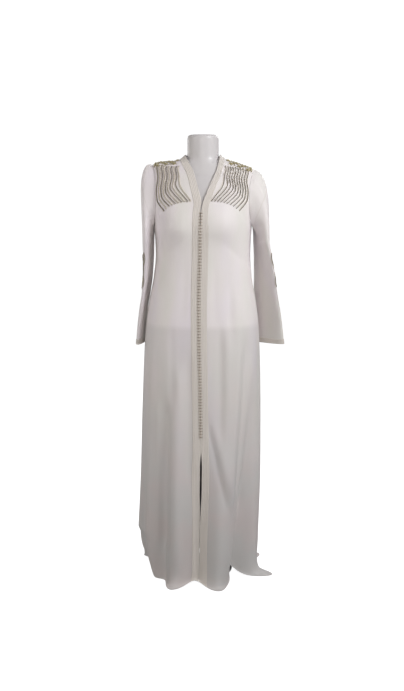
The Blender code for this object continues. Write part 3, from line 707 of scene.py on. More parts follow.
GOWN_SECTIONS = rows_of(
    Section,
    (0.000, -0.013, 0.203, 0.146, 0.164, 2.2), (0.120, -0.012, 0.212, 0.147, 0.166, 2.2),
    (0.300, -0.009, 0.212, 0.146, 0.160, 2.2), (0.550, -0.006, 0.208, 0.143, 0.150, 2.2),
    (0.720, -0.004, 0.203, 0.138, 0.143, 2.2), (0.870, -0.003, 0.195, 0.130, 0.136, 2.2),
    (0.960, -0.002, 0.184, 0.124, 0.128, 2.2), (1.050, -0.001, 0.167, 0.118, 0.116, 2.2),
    (1.130, 0.000, 0.160, 0.116, 0.108, 2.2), (1.225, 0.000, 0.164, 0.117, 0.105, 2.2),
    (1.290, 0.000, 0.169, 0.110, 0.106, 2.2), (1.340, 0.000, 0.172, 0.096, 0.101, 2.1),
    (1.375, 0.000, 0.172, 0.080, 0.087, 1.9), (1.396, 0.000, 0.170, 0.069, 0.075, 1.7),
    (1.408, 0.000, 0.168, 0.064, 0.069, 1.6), (1.419, 0.000, 0.140, 0.061, 0.066, 1.6),
    (1.429, 0.000, 0.112, 0.059, 0.063, 1.7), (1.437, 0.000, 0.0860, 0.058, 0.062, 1.8),
    (1.446, 0.000, 0.0695, 0.057, 0.061, 1.9), (1.452, 0.000, 0.0625, 0.0565, 0.0605, 2.0),
    (1.458, 0.000, 0.0575, 0.056, 0.060, 2.0),
)

FORM_SECTIONS = rows_of(
    Section,
    (0.868, 0.0, 0.142, 0.088, 0.100, 2.2), (0.874, 0.0, 0.152, 0.097, 0.110, 2.2),
    (0.900, 0.0, 0.160, 0.103, 0.116, 2.2), (0.960, 0.0, 0.164, 0.104, 0.116, 2.2),
    (1.030, 0.0, 0.151, 0.098, 0.100, 2.2), (1.090, 0.0, 0.137, 0.094, 0.087, 2.2),
    (1.150, 0.0, 0.144, 0.099, 0.089, 2.2), (1.225, 0.0, 0.157, 0.108, 0.095, 2.2),
    (1.290, 0.0, 0.162, 0.102, 0.098, 2.2), (1.340, 0.0, 0.165, 0.089, 0.094, 2.1),
    (1.375, 0.0, 0.164, 0.073, 0.080, 1.9), (1.392, 0.0, 0.161, 0.063, 0.069, 1.7),
    (1.403, 0.0, 0.158, 0.060, 0.065, 1.6), (1.415, 0.0, 0.137, 0.057, 0.062, 1.6),
    (1.425, 0.0, 0.108, 0.055, 0.059, 1.7), (1.433, 0.0, 0.0750, 0.053, 0.056, 1.8),
    (1.442, 0.0, 0.0580, 0.051, 0.051, 1.9), (1.452, 0.0, 0.0528, 0.0500, 0.0490, 2.0),
    (1.468, 0.0, 0.0522, 0.0498, 0.0490, 2.0), (1.508, 0.0, 0.0520, 0.0495, 0.0495, 2.0),
    (1.516, 0.0, 0.0500, 0.0475, 0.0480, 2.0), (1.520, 0.0, 0.0450, 0.0425, 0.0430, 2.0),
)

STANDING_FOLDS = rows_of(
    StandingFold,
    (-2.0, 0.0, 8.0, -0.020, 0.48), (14.0, 5.0, 10.0, 0.032, 0.72), (47.0, 24.0, 14.0, -0.056, 0.96),
    (84.0, 0.0, 13.0, -0.003, 0.50), (-17.0, -4.0, 10.0, 0.030, 0.88), (-35.0, -5.0, 9.0, -0.014, 0.72),
    (-52.0, -4.0, 10.0, 0.010, 0.66), (-94.0, 0.0, 17.0, 0.012, 0.42), (106.0, 4.0, 9.0, -0.018, 0.66),
    (124.0, 4.0, 11.0, 0.024, 0.84), (144.0, 2.0, 8.0, -0.020, 0.74), (162.0, 1.0, 10.0, 0.027, 0.88),
    (182.0, 0.0, 9.0, -0.022, 0.80), (202.0, -1.0, 11.0, 0.030, 0.90), (224.0, -2.0, 9.0, -0.019, 0.70),
    (243.0, -3.0, 10.0, 0.018, 0.78),
)

HEM_LOBES = rows_of(
    HemLobe,
    (-4.0, 7.0, -0.006, 0.012), (13.0, 10.0, 0.012, 0.0), (-16.0, 12.0, 0.016, 0.0),
    (46.0, 10.0, -0.010, 0.040), (76.0, 10.0, 0.058, 0.0), (-76.0, 24.0, -0.080, 0.0),
    (-98.0, 12.0, -0.006, 0.016), (124.0, 12.0, 0.018, 0.0), (162.0, 12.0, 0.022, 0.0),
    (202.0, 14.0, 0.026, 0.0), (243.0, 12.0, 0.006, 0.0),
)

SPILL_SHARES = rows_of(
    HeightValue,
    (0.0024, 1.00), (0.0050, 0.66), (0.0140, 0.34), (0.0360, 0.12),
    (0.0800, 0.02), (0.1500, 0.00),
)

ARMHOLE = rows_of(
    HeightValue,
    (1.225, 0.164), (1.238, 0.1600), (1.262, 0.1565), (1.300, 0.1545),
    (1.345, 0.1550), (1.385, 0.1610), (1.408, 0.168),
)

SLIT = rows_of(
    HeightValue,
    (0.000, 0.0004), (0.200, 0.0004), (0.270, 0.0016), (0.340, 0.0034),
    (0.420, 0.0034), (0.475, 0.0002),
)

FRONT_LEAN = rows_of(
    HeightValue,
    (0.000, 0.0060), (0.204, 0.0070), (0.311, 0.0078), (0.417, 0.0080),
    (0.659, 0.0030), (0.830, -0.0025), (0.992, -0.0055), (1.185, -0.0030),
    (1.280, 0.0000), (1.306, 0.0045), (1.350, 0.0073), (1.400, 0.0100),
    (1.458, 0.0000),
)

SLEEVE_STATIONS = {
    Side.LEFT: rows_of(
        SleeveStation,
        (1.170, 0.1970, 0.008, 0.072, 0.0210, 16.0), (1.120, 0.2010, 0.016, 0.070, 0.0195, 22.0),
        (1.060, 0.2070, 0.028, 0.066, 0.0185, 30.0), (1.000, 0.2130, 0.040, 0.064, 0.0175, 37.0),
        (0.940, 0.2185, 0.052, 0.063, 0.0170, 44.0), (0.880, 0.2230, 0.064, 0.063, 0.0165, 50.0),
        (0.815, 0.2275, 0.072, 0.064, 0.0165, 56.0),
    ),
    Side.RIGHT: rows_of(
        SleeveStation,
        (1.170, 0.1860, 0.004, 0.072, 0.0180, 1.0), (1.120, 0.1870, 0.008, 0.070, 0.0170, 1.0),
        (1.060, 0.1900, 0.012, 0.067, 0.0150, 1.0), (1.000, 0.1970, 0.016, 0.064, 0.0130, 2.0),
        (0.940, 0.2070, 0.020, 0.062, 0.0120, 2.0), (0.880, 0.2140, 0.024, 0.060, 0.0120, 3.0),
        (0.820, 0.2190, 0.026, 0.058, 0.0120, 4.0),
    ),
}

SLEEVE_CREASES = rows_of(
    SleeveCrease,
    (140.0, 26.0, -0.006, 1.21, 0.93), (55.0, 22.0, -0.004, 1.24, 1.02),
    (250.0, 28.0, -0.005, 1.20, 0.90), (70.0, 9.0, 0.0022, 1.20, 0.98),
    (100.0, 9.0, -0.0020, 1.18, 0.90), (30.0, 9.0, -0.0018, 1.16, 0.94),
)

FOLD_LINES = rows_of(
    FoldLine,
    (0.024, 0.575, 0.096, 0.250, 0.009, -0.0058), (0.046, 0.565, 0.112, 0.270, 0.013, 0.0038),
    (0.152, 0.860, 0.123, 0.245, 0.013, -0.0085), (0.126, 0.840, 0.099, 0.250, 0.016, 0.0070),
    (0.088, 0.900, 0.086, 0.330, 0.020, 0.0075), (0.066, 0.900, 0.068, 0.500, 0.012, -0.0040),
    (-0.116, 0.640, -0.122, 0.120, 0.013, -0.0090), (-0.074, 0.760, -0.082, 0.060, 0.016, 0.0070),
    (-0.146, 0.640, -0.152, 0.120, 0.012, 0.0035), (-0.040, 0.800, -0.036, 0.350, 0.012, -0.0034),
    (-0.100, 0.900, -0.098, 0.640, 0.013, -0.0030), (0.118, 1.020, 0.124, 0.830, 0.012, 0.0032),
    (0.096, 1.020, 0.099, 0.830, 0.010, -0.0030), (0.078, 1.165, 0.150, 1.100, 0.010, -0.0022),
    (-0.078, 1.165, -0.148, 1.105, 0.010, -0.0022), (0.118, 1.300, 0.150, 1.235, 0.008, -0.0024),
    (-0.118, 1.300, -0.150, 1.235, 0.008, -0.0024), (0.040, 1.120, 0.046, 0.900, 0.014, -0.0018),
    (-0.050, 1.120, -0.060, 0.900, 0.014, -0.0018), (-0.034, 0.868, 0.034, 0.872, 0.0035, -0.0022),
    (0.094, 0.626, 0.104, 0.606, 0.005, 0.0030), (-0.060, 0.948, -0.026, 0.940, 0.004, -0.0014),
    (0.036, 1.262, 0.060, 1.270, 0.005, 0.0016),
)


def quads(height: int, columns: int, edge: Edge) -> list[tuple[int, int, int, int]]:
    """Faces between the neighbouring rows and columns of a grid.

    Args:
        height: How many rows it has.
        columns: How many points each row has.
        edge: Whether the last column joins the first.

    Returns:
        Four point numbers a face, counted row by row.
    """
    faces = []
    for k in range(height - 1):
        low, high = k * columns, (k + 1) * columns
        for a in range(columns if edge is Edge.TUBE else columns - 1):
            b = (a + 1) % columns
            faces.append((low + a, low + b, high + b, high + a))
    return faces


@dataclass
class ClothGrid:
    """Points of a cloth's outer face in rows and columns, with their normals."""

    points: Rows
    edge: Edge = Edge.CUT
    normals: Rows = field(default_factory=list)

    def find_normals(self) -> None:
        """Find the outward normals; columns run counter to the rows."""
        last_row, last = len(self.points) - 1, len(self.points[0]) - 1
        self.normals = []
        for i, row in enumerate(self.points):
            above, below = self.points[min(i + 1, last_row)], self.points[max(i - 1, 0)]
            line = []
            for j in range(last + 1):
                if self.edge is Edge.TUBE:
                    across = row[(j + 1) % (last + 1)] - row[j - 1]
                else:
                    across = row[min(j + 1, last)] - row[max(j - 1, 0)]
                line.append(across.cross(above[j] - below[j]).normalized())
            self.normals.append(line)

    def moved(self, distance: float) -> Rows:
        """The points moved along their normals."""
        pairs = zip(self.points, self.normals)
        return [[p + n * distance for p, n in zip(row, line)] for row, line in pairs]

    def lengths(self) -> list[list[tuple[float, float]]]:
        """Place of each point in the flat cloth, in metres across and up."""
        middle = len(self.points[0]) // 2
        up, table, below = 0.0, [], self.points[0]
        for row in self.points:
            up += (row[middle] - below[middle]).length
            below, across, line = row, 0.0, []
            for j, p in enumerate(row):
                across += (p - row[max(j - 1, 0)]).length
                line.append((across, up))
            table.append(line)
        return table

    def tree(self) -> BVHTree:
        """The outer face, to lay trimmings on."""
        faces = quads(len(self.points), len(self.points[0]), self.edge)
        return BVHTree.FromPolygons([p for row in self.points for p in row], faces)


@dataclass
class GownShape:
    """Every size of the gown's outside, and the grids of its cloth pieces."""

    armpit: float = 1.225
    v_point: float = 1.300
    neck_top: float = 1.458
    back_neck: float = 1.425
    neck_side: float = 0.0575
    v_bow: float = 1.08
    shoulder_tip: float = 0.168
    shoulder_lift: float = 0.016
    lift_start: float = 0.080
    lift_wide: float = 0.080
    lift_foot: float = 1.300
    lift_tall: float = 0.100
    half_seam: float = 0.0002
    braid_width: float = 0.026
    braid_columns: int = 8
    front_columns: int = 56
    back_half_columns: int = 60
    bodice_steps: int = 5
    skirt_step: float = 0.0098
    hem_spill: float = 0.010
    tuck_rise: float = 0.36
    lift_reach: float = 0.20
    form_foot: float = 0.896
    cap_rows: int = 26
    cap_reach: tuple[float, float] = (0.052, 0.060)
    cap_rise: tuple[float, float] = (-0.06, 0.45)
    cap_hang: float = 0.46
    underarm_fall: float = 0.72
    underarm_reach: float = 0.22
    armhole_gap: float = 0.0006
    sleeve_rows: int = 48
    seam_calm: float = 0.022
    hem_calm: float = 0.05
    top_calm: float = 6.0
    cap_calm: float = 9.0
    cuff_calm: float = 5.0
    crease_ends: tuple[float, float] = (0.06, 0.08)
    # Painted shade below the form's foot: where it starts, how it rises, its least share and its fall
    # towards the hem.
    form_edge: float = 0.022
    form_edge_rise: float = 0.008
    least_grey: float = 0.36
    grey_fall: float = 0.86
    sway: Ripple = Ripple(15.0, 1.6)
    ripple: Ripple = Ripple(34.0, 4.0, 7.0)
    sleeve_sway: Ripple = Ripple(26.0, 5.0, 0.0, 3.0)
    sleeve_ripple: Ripple = Ripple(60.0, 11.0, 0.0, 9.0)
    bust: Bust = Bust()

    def __post_init__(self) -> None:
        """Make the tables ready to read at any height."""
        self.sections = Profile(GOWN_SECTIONS)
        self.spills = Profile(SPILL_SHARES)
        self.armhole = Profile(ARMHOLE)
        self.slit = Profile(SLIT)
        self.lean = Profile(FRONT_LEAN)
        self.sleeves = {side: Profile(rows) for side, rows in SLEEVE_STATIONS.items()}
        self.folds_known: dict[float, list[tuple[float, float, float]]] = {}

    def folds_at(self, height: float) -> list[tuple[float, float, float]]:
        """The folds that cross a height: centre, spread and depth of each."""
        if height not in self.folds_known:
            found = []
            for hem_fold_and_shade in STANDING_FOLDS:
                risen = height / hem_fold_and_shade.top
                if risen < 1.0:
                    depth = hem_fold_and_shade.depth * smoothstep(1.0 - risen)
                    found.append((hem_fold_and_shade.angle + hem_fold_and_shade.drift * risen, hem_fold_and_shade.spread, depth))
            self.folds_known[height] = found
        return self.folds_known[height]

    def skirt_point(self, angle: float, height: float) -> Vector:
        """A point on the outside of the gown below the armpits.

        Args:
            angle: Plan angle in degrees, 0 in front and 90 at the gown's left side.
            height: Metres above the floor.

        Returns:
            The point.
        """
        section = self.sections.at(height)
        share = self.spills.at(height).value if height < 0.15 else 0.0
        turn = math.radians(angle)
        across, along = section.rim(turn, height, self.bust)
        out = sum(d * hump(angle, c, s) for c, s, d in self.folds_at(height))
        raised = height
        if height < self.lift_reach:
            spill = self.hem_spill + sum(h.spill * hump(angle, h.angle, h.spread) for h in HEM_LOBES)
            lift = sum(h.lift * hump(angle, h.angle, h.spread) for h in HEM_LOBES)
            out += spill * (share if spill > 0.0 else share**self.tuck_rise)
            raised += lift * (1.0 - height / self.lift_reach)
        outward = Vector((across, along, 0.0)).normalized()
        seam = -self.half_seam if along < 0 else self.half_seam
        return Vector((across + section.sway, along + seam, raised)) + outward * out

    def lifted(self, across: float, height: float) -> float:
        """How much higher the gown's right shoulder sits than its left there."""
        wide = smoothstep((-across - self.lift_start) / self.lift_wide)
        return self.shoulder_lift * wide * smoothstep((height - self.lift_foot) / self.lift_tall)

    def bodice_point(self, across: float, height: float, behind: bool) -> Vector:
        """A point on the outside of the gown above the armpits.

        Args:
            across: Distance from the middle.
            height: Metres above the floor.
            behind: Whether it is on the back.

        Returns:
            The point.
        """
        section = self.sections.at(height)
        share = min(1.0, abs(across) / section.half_width)
        depth = section.back if behind else section.front
        depth *= (1.0 - share**section.square) ** (1.0 / section.square)
        raised = height + self.lifted(across, height)
        if behind:
            return Vector((across, depth + self.half_seam, raised))
        return Vector((across, -depth - self.bust.stands(across, height) - self.half_seam, raised))

    def shoulder_height(self, across: float) -> float:
        """Height of the shoulder line at that place across."""
        low, high = ARMHOLE[-1].height, self.neck_top
        for _ in range(30):
            middle = (low + high) / 2
            if self.sections.blended(middle)[2] > abs(across):
                low = middle
            else:
                high = middle
        return (low + high) / 2

    def rise(self, share: float, top: float) -> float:
        """Height a share of the way from the armpit to the top of its column."""
        return self.armpit + (top - self.armpit) * math.sin(math.radians(90.0 * share))

    def share_of_rise(self, height: float, top: float) -> float:
        """The share of the way up its column at which the bodice reaches a height."""
        return math.degrees(math.asin((height - self.armpit) / (top - self.armpit))) / 90.0

    def neckline(self, height: float) -> float:
        """Distance of the front edge from the middle."""
        if height <= self.v_point:
            return self.slit.at(height).value
        share = (height - self.v_point) / (self.neck_top - self.v_point)
        return self.half_seam + (self.neck_side - self.half_seam) * share**self.v_bow

    def back_top(self, across: float) -> float:
        """Height of the back's top edge: the hollow of the neck, then the shoulder."""
        if abs(across) >= self.neck_side:
            return self.shoulder_height(across)
        hollow = (across / self.neck_side) ** 2
        return self.back_neck + (self.neck_top - self.back_neck) * hollow

    def skirt_heights(self) -> list[float]:
        """Heights of the rows from the hem to just under the armpits."""
        heights = [0.0024, 0.0036, 0.005, 0.0075, 0.0105, 0.014, 0.019, 0.026, 0.036]
        heights += [0.047, 0.059, 0.070, 0.080, 0.090, 0.100]
        count = round((self.armpit - heights[-1]) / self.skirt_step)
        step = (self.armpit - heights[-1]) / count
        return heights + [heights[-1] + step * k for k in range(1, count)]

    def bodice_shares(self) -> list[float]:
        """Rows of the bodice as shares of the way up, one at the point of the V."""
        v_share = self.share_of_rise(self.v_point, self.neck_top)
        marks = [0.0, v_share / 2, v_share, 0.31, 0.42, 0.54, 0.66, 0.78, 0.90, 1.0]
        steps = self.bodice_steps
        return [a + (b - a) * k / steps for a, b in zip(marks, marks[1:]) for k in range(1, steps + 1)]

    def front_angles(self, section: Section) -> list[float]:
        """Plan angles of a front's columns, the first ones across the braid."""
        angles = []
        for k in range(self.braid_columns + 1):
            across = self.braid_width * k / self.braid_columns
            share = (across / section.half_width) ** (section.square / 2.0)
            angles.append(math.degrees(math.asin(share)))
        start = angles[-1]
        step = (90.0 - start) / self.front_columns
        return angles + [start + step * k for k in range(1, self.front_columns + 1)]

    def front_grid(self, side: Side) -> ClothGrid:
        """Grid of one front, from the hem up, columns from the gown's right to its left.

        Args:
            side: Which front.

        Returns:
            Its outer face with fine folds.
        """
        sign, rows = side.value, []
        for height in [*self.skirt_heights(), self.armpit]:
            section = self.sections.at(height)
            gap = self.neckline(height)
            lean = self.lean.at(height).value
            line = []
            for angle in self.front_angles(section):
                point = self.skirt_point(sign * angle, height)
                share = abs(point.x - section.sway) / section.half_width
                point.x += (sign * gap + lean) * max(0.0, 1.0 - share)
                line.append(point)
            rows.append(line)
        armpit = rows[-1]
        inset = self.half_seam
        spread = [(abs(p.x) - inset) / (abs(armpit[-1].x) - inset) for p in armpit]
        tips = [self.neck_side + (self.shoulder_tip - self.neck_side) * q for q in spread]
        crests = [self.shoulder_height(tip) for tip in tips]
        for share in self.bodice_shares():
            edge_height = self.rise(share, self.neck_top)
            edge_in = self.neckline(edge_height) + sign * self.lean.at(edge_height).value
            edge_out = self.armhole.at(self.rise(share, ARMHOLE[-1].height)).value
            line = []
            for q, crest in zip(spread, crests):
                height = self.rise(share, crest)
                across = edge_in + (edge_out - edge_in) * q
                across = min(across, self.sections.at(height).half_width)
                line.append(self.bodice_point(sign * across, height, behind=False))
            rows.append(line)
        if side is Side.RIGHT:
            rows = [row[::-1] for row in rows]
        edge = 0 if side is Side.LEFT else len(rows[0]) - 1
        return self.finished(ClothGrid(rows), edge, [len(rows[0]) - 1 - edge])

    def back_grid(self) -> ClothGrid:
        """Grid of the back, from the hem up, its left side first."""
        half = self.back_half_columns
        steps = [1.0 - k / half for k in range(2 * half + 1)]
        rows = []
        for height in [*self.skirt_heights(), self.armpit]:
            line = [self.skirt_point(180.0 - 90.0 * step, height) for step in steps]
            line[0].y = max(line[0].y, self.half_seam)
            line[-1].y = max(line[-1].y, self.half_seam)
            rows.append(line)
        spread = [p.x / rows[-1][0].x for p in rows[-1]]
        crests = [self.back_top(q * self.shoulder_tip) for q in spread]
        for share in self.bodice_shares():
            edge_out = self.armhole.at(self.rise(share, ARMHOLE[-1].height)).value
            line = []
            for q, crest in zip(spread, crests):
                height = self.rise(share, crest)
                wide = self.sections.at(height).half_width
                across = max(-wide, min(wide, q * edge_out))
                line.append(self.bodice_point(across, height, behind=True))
            rows.append(line)
        return self.finished(ClothGrid(rows), None, [0, len(rows[0]) - 1])

    def finished(self, grid: ClothGrid, edge: int | None, sides: list[int]) -> ClothGrid:
        """Add the fine folds to a panel and keep its normals square to the seams.

        Args:
            grid: The panel.
            edge: Its front edge's column, if it has one.
            sides: Columns of its side seams.

        Returns:
            The same grid, finished.
        """
        grid.find_normals()
        self.square_normals(grid, edge, sides)
        top = len(grid.points) - 1
        for i, (row, line) in enumerate(zip(grid.points, grid.normals)):
            for j, (p, n) in enumerate(zip(row, line)):
                to_side = min((p - row[s]).length for s in sides)
                calm = smoothstep(to_side / self.seam_calm) * smoothstep((top - i) / self.top_calm)
                calm *= smoothstep(p.z / self.hem_calm)
                p += n * (self.fine_relief(p, n) * calm)
        grid.find_normals()
        self.square_normals(grid, edge, sides)
        return grid

    def square_normals(self, grid: ClothGrid, edge: int | None, sides: list[int]) -> None:
        """Turn the normals at the seams so that neighbours don't cross.

        Args:
            grid: The panel.
            edge: Its front edge's column, if it has one.
            sides: Columns of its side seams.
        """
        armpit_row = len(self.skirt_heights())
        v_row = armpit_row + 2 * self.bodice_steps
        for line in grid.normals[: v_row + 1] if edge is not None else ():
            line[edge] = Vector((0.0, line[edge].y, line[edge].z)).normalized()
        for line in grid.normals[: armpit_row + 1]:
            for j in sides:
                line[j] = Vector((line[j].x, 0.0, line[j].z)).normalized()
        near = 2.0 * self.half_seam
        grid.normals[-1] = [
            n if abs(p.y) > near else Vector((n.x, 0.0, n.z)).normalized()
            for p, n in zip(grid.points[-1], grid.normals[-1])
        ]

    def fine_relief(self, place: Vector, normal: Vector) -> float:
        """Soft small folds on top of the standing ones, in metres outward."""
        out = 0.0
        if place.y <= 0.0:
            facing = smoothstep(abs(normal.y) * 1.6)
            out = facing * sum(line.at(place.x, place.z) for line in FOLD_LINES)
        loose = smoothstep((1.02 - place.z) / 0.35)
        sway, ripple = self.sway.at(place), self.ripple.at(place)
        return out + (sway * (0.0008 + 0.0042 * loose) + ripple * (0.0005 + 0.0011 * loose))

    def unbacked(self, place: Vector) -> float:
        """How much painted shade the cloth gets there, standing for the shaded inside seen through it:
        most at the hem, none over the form.
        """
        below = smoothstep((self.form_foot + self.form_edge_rise - place.z) / self.form_edge)
        fall = smoothstep((self.form_foot - place.z) / self.grey_fall)
        return below * (self.least_grey + (1.0 - self.least_grey) * fall)

    def sleeve_point(self, side: Side, angle: float, height: float) -> Vector:
        """A point on the outside of a sleeve below its cap.

        Args:
            side: Which sleeve.
            angle: Round the section: 0 outside, 90 in front, 180 next to the body.
            height: Metres above the floor.

        Returns:
            The point.
        """
        sign = side.value
        row = self.sleeves[side].at(height)
        turn, round_it = math.radians(row.turn), math.radians(angle)
        outward = Vector((sign * math.cos(turn), math.sin(turn), 0.0))
        forward = Vector((sign * math.sin(turn), -math.cos(turn), 0.0))
        crease = sum(
            c.depth
            * hump(angle, c.angle, c.spread)
            * smoothstep((c.top - height) / self.crease_ends[0])
            * smoothstep((height - c.foot) / self.crease_ends[1])
            for c in SLEEVE_CREASES
        )
        centre = Vector((sign * row.out, row.aside, height))
        point = centre + outward * (row.half_thick * math.cos(round_it))
        point += forward * (row.half_wide * math.sin(round_it))
        return point + (point - centre).normalized() * crease

    def armhole_loop(self, side: Side, front: ClothGrid, back: ClothGrid) -> list[Vector]:
        """The armhole's edge, from the shoulder down the front and up the back.

        Args:
            side: Which armhole.
            front: That side's front.
            back: The back.

        Returns:
            The edge's points, moved a hair outwards.
        """
        start = len(self.skirt_heights())
        out_front = -1 if side is Side.LEFT else 0
        out_back = 0 if side is Side.LEFT else -1
        front_edge = [row[out_front] for row in front.points[start:]]
        back_edge = [row[out_back] for row in back.points[start:]]
        gap = Vector((side.value * self.armhole_gap, 0.0, 0.0))
        return [p + gap for p in (*reversed(front_edge), *back_edge[1:-1])]

    def sleeve_grid(self, side: Side, front: ClothGrid, back: ClothGrid) -> ClothGrid:
        """Rings of a sleeve from the armhole down to the cuff.

        Args:
            side: Which sleeve.
            front: That side's front.
            back: The back.

        Returns:
            Its outer face as a tube.
        """
        start = self.armhole_loop(side, front, back)
        count, sign = len(start), side.value
        pick = 0 if side is Side.LEFT else 1
        top, foot = SLEEVE_STATIONS[side][0].height, SLEEVE_STATIONS[side][-1].height
        end = [self.sleeve_point(side, 360.0 * j / count, top) for j in range(count)]
        rings = [start]
        for k in range(1, self.cap_rows + 1):
            share = k / (self.cap_rows + 1)
            rest, ring = 1.0 - share, []
            for j, (a, d) in enumerate(zip(start, end)):
                under = (1.0 - math.cos(2.0 * math.pi * j / count)) / 2.0
                climb = self.cap_rise[pick] * (1.0 - under) ** 3 - under
                away = Vector((sign * (1.0 - self.underarm_fall * under), 0.0, climb))
                span = (d - a).length
                reach = self.cap_reach[pick] * (1.0 - under) + self.underarm_reach * span * under
                b = a + away.normalized() * reach
                c = d + Vector((0.0, 0.0, self.cap_hang * span))
                bend = a * rest**3 + b * 3 * rest**2 * share + c * 3 * rest * share**2
                ring.append(bend + d * share**3)
            rings.append(ring)
        rings.append(end)
        for k in range(1, self.sleeve_rows + 1):
            height = top + (foot - top) * k / self.sleeve_rows
            rings.append([self.sleeve_point(side, 360.0 * j / count, height) for j in range(count)])
        grid = ClothGrid(rings, Edge.TUBE)
        self.outward_normals(grid)
        last = len(rings) - 1
        for i, (row, line) in enumerate(zip(rings, grid.normals)):
            calm = smoothstep(i / self.cap_calm) * smoothstep((last - i) / self.cuff_calm)
            for p, n in zip(row, line):
                sway, ripple = self.sleeve_sway.at(p), self.sleeve_ripple.at(p)
                p += n * ((sway * 0.0028 + ripple * 0.0008) * calm)
        self.outward_normals(grid)
        return grid

    def outward_normals(self, grid: ClothGrid) -> None:
        """Find a tube's normals and turn them outwards."""
        grid.find_normals()
        ring = grid.points[-1]
        centre = sum(ring, Vector()) / len(ring)
        if grid.normals[-1][0].dot(ring[0] - centre) < 0:
            grid.normals = [[-n for n in line] for line in grid.normals]


# Mesh helpers.


def wall_object(name: str, outer: Rows, inner: Rows, grid: ClothGrid, finish: Any) -> Any:
    """A closed thin wall between two grids of points.

    Args:
        name: The object's name.
        outer: Points of its outer face.
        inner: Points of its inner face.
        grid: The grid that gives its flat lengths and its edge.
        finish: Its material.

    Returns:
        The object, linked and smooth.
    """
    height, columns = len(outer), len(outer[0])
    points = [p for rows in (outer, inner) for row in rows for p in row]
    wraps = columns if grid.edge is Edge.TUBE else columns - 1
    inside = height * columns
    faces = []
    for a, b, c, d in quads(height, columns, grid.edge):
        faces.append((a, b, c, d))
        faces.append((inside + b, inside + a, inside + d, inside + c))
    for k in (0, height - 1):
        for a in range(wraps):
            b, row = (a + 1) % columns, k * columns
            rim = (row + b, row + a, inside + row + a, inside + row + b)
            faces.append(rim if k == 0 else rim[::-1])
    if grid.edge is Edge.CUT:
        for j in (0, columns - 1):
            for k in range(height - 1):
                low, high = k * columns + j, (k + 1) * columns + j
                rim = (low, high, inside + high, inside + low)
                faces.append(rim if j == 0 else rim[::-1])
    mesh = bpy.data.meshes.new(name)
    mesh.from_pydata([tuple(p) for p in points], [], faces)
    flat = [place for line in grid.lengths() for place in line] * 2
    layer = mesh.uv_layers.new(name="flat_cloth")
    for loop in mesh.loops:
        layer.data[loop.index].uv = flat[loop.vertex_index]
    mesh.materials.append(finish)
    mesh.shade_smooth()
    mesh.set_sharp_from_angle(angle=math.radians(45.0))
    return faced_outward(linked(name, mesh))


def linked(name: str, data: Any) -> Any:
    """Make an object of the data and link it to the scene."""
    made = bpy.data.objects.new(name, data)
    bpy.context.scene.collection.objects.link(made)
    return made


def faced_outward(made: Any) -> Any:
    """The object with every face turned outwards."""
    only(made)
    bpy.ops.object.mode_set(mode="EDIT")
    bpy.ops.mesh.select_all(action="SELECT")
    bpy.ops.mesh.normals_make_consistent(inside=False)
    bpy.ops.object.mode_set(mode="OBJECT")
    return made


def only(*made: Any) -> None:
    """Select these objects alone; the first is the active one."""
    bpy.ops.object.select_all(action="DESELECT")
    for item in made:
        item.select_set(True)
    bpy.context.view_layer.objects.active = made[0]


def joined(name: str, parts: list[Any], finish: Any | None = None) -> Any:
    """Join objects into one, with its place in its mesh.

    Args:
        name: Name of the result.
        parts: The objects.
        finish: One material for all, or none to keep their own.

    Returns:
        The joined object.
    """
    only(*parts)
    if len(parts) > 1:
        bpy.ops.object.join()
    made = bpy.context.view_layer.objects.active
    bpy.ops.object.transform_apply(location=True, rotation=True, scale=True)
    made.name = name
    made.data.name = name
    if finish is not None:
        made.data.materials.clear()
        made.data.materials.append(finish)
    bpy.ops.object.shade_smooth_by_angle(angle=math.radians(50.0))
    return made


def ball(segments: int, rings: int, radius: float, place: Colour = (0.0, 0.0, 0.0)) -> Any:
    """Add a ball.

    Args:
        segments: Faces round it.
        rings: Faces from pole to pole.
        radius: Its radius.
        place: Its middle.

    Returns:
        The ball, selected alone and active.
    """
    bpy.ops.mesh.primitive_uv_sphere_add(
        segments=segments, ring_count=rings, radius=radius, location=place
    )
    return bpy.context.object


def cord_ring(segments: int, radius: float, cord: float, turn: Colour, place: Colour) -> Any:
    """Add a ring of cord.

    Args:
        segments: Faces along it.
        radius: Its radius.
        cord: The cord's radius.
        turn: Its turn about each axis.
        place: Its middle.

    Returns:
        The ring, selected alone and active.
    """
    bpy.ops.mesh.primitive_torus_add(
        major_segments=segments,
        minor_segments=6,
        major_radius=radius,
        minor_radius=cord,
        rotation=turn,
        location=place,
    )
    return bpy.context.object


def copied(pattern: Any, name: str, place: Matrix) -> Any:
    """A copy of a modelled piece with a mesh of its own, set in place.

    Args:
        pattern: The piece.
        name: Name of the copy.
        place: Its transform.

    Returns:
        The copy.
    """
    made = linked(name, pattern.data.copy())
    made.data.transform(place)
    return made


def laid(tree: BVHTree, target: Vector, facing: Vector) -> tuple[Vector, Vector]:
    """The place on a surface nearest to the target, and its normal on that side.

    Args:
        tree: The surface.
        target: Where the piece should be.
        facing: Rough direction of the outside.

    Returns:
        The place and the normal.
    """
    place, normal, _, _ = tree.find_nearest(target)
    return place, normal if normal.dot(facing) > 0 else -normal


def stand_on(place: Vector, normal: Vector, ahead: Vector, scale: float = 1.0) -> Matrix:
    """A transform that stands +Z on the normal with +X ahead.

    Args:
        place: Where the origin goes.
        normal: The surface's normal.
        ahead: Direction of +X, as near as the normal lets it.
        scale: Size of the copy.

    Returns:
        The transform.
    """
    across = normal.cross(ahead).normalized()
    along = across.cross(normal).normalized()
    turn = Matrix((along, across, normal)).transposed().to_4x4()
    return Matrix.Translation(place) @ turn @ Matrix.Scale(scale, 4)


def settle(made: Any, slot: str, *nodes: str) -> Any:
    """Let a piece ride on the body and stand for CAD nodes.

    Args:
        made: The piece.
        slot: The record's material slot; not used.
        nodes: The nodes that it stands for.

    Returns:
        The piece.
    """
    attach(made, BODY)
    if nodes:
        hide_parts(*nodes)
    LOG.info("%s: %d faces", made.name, len(made.data.polygons))
    return made


# Cloth.


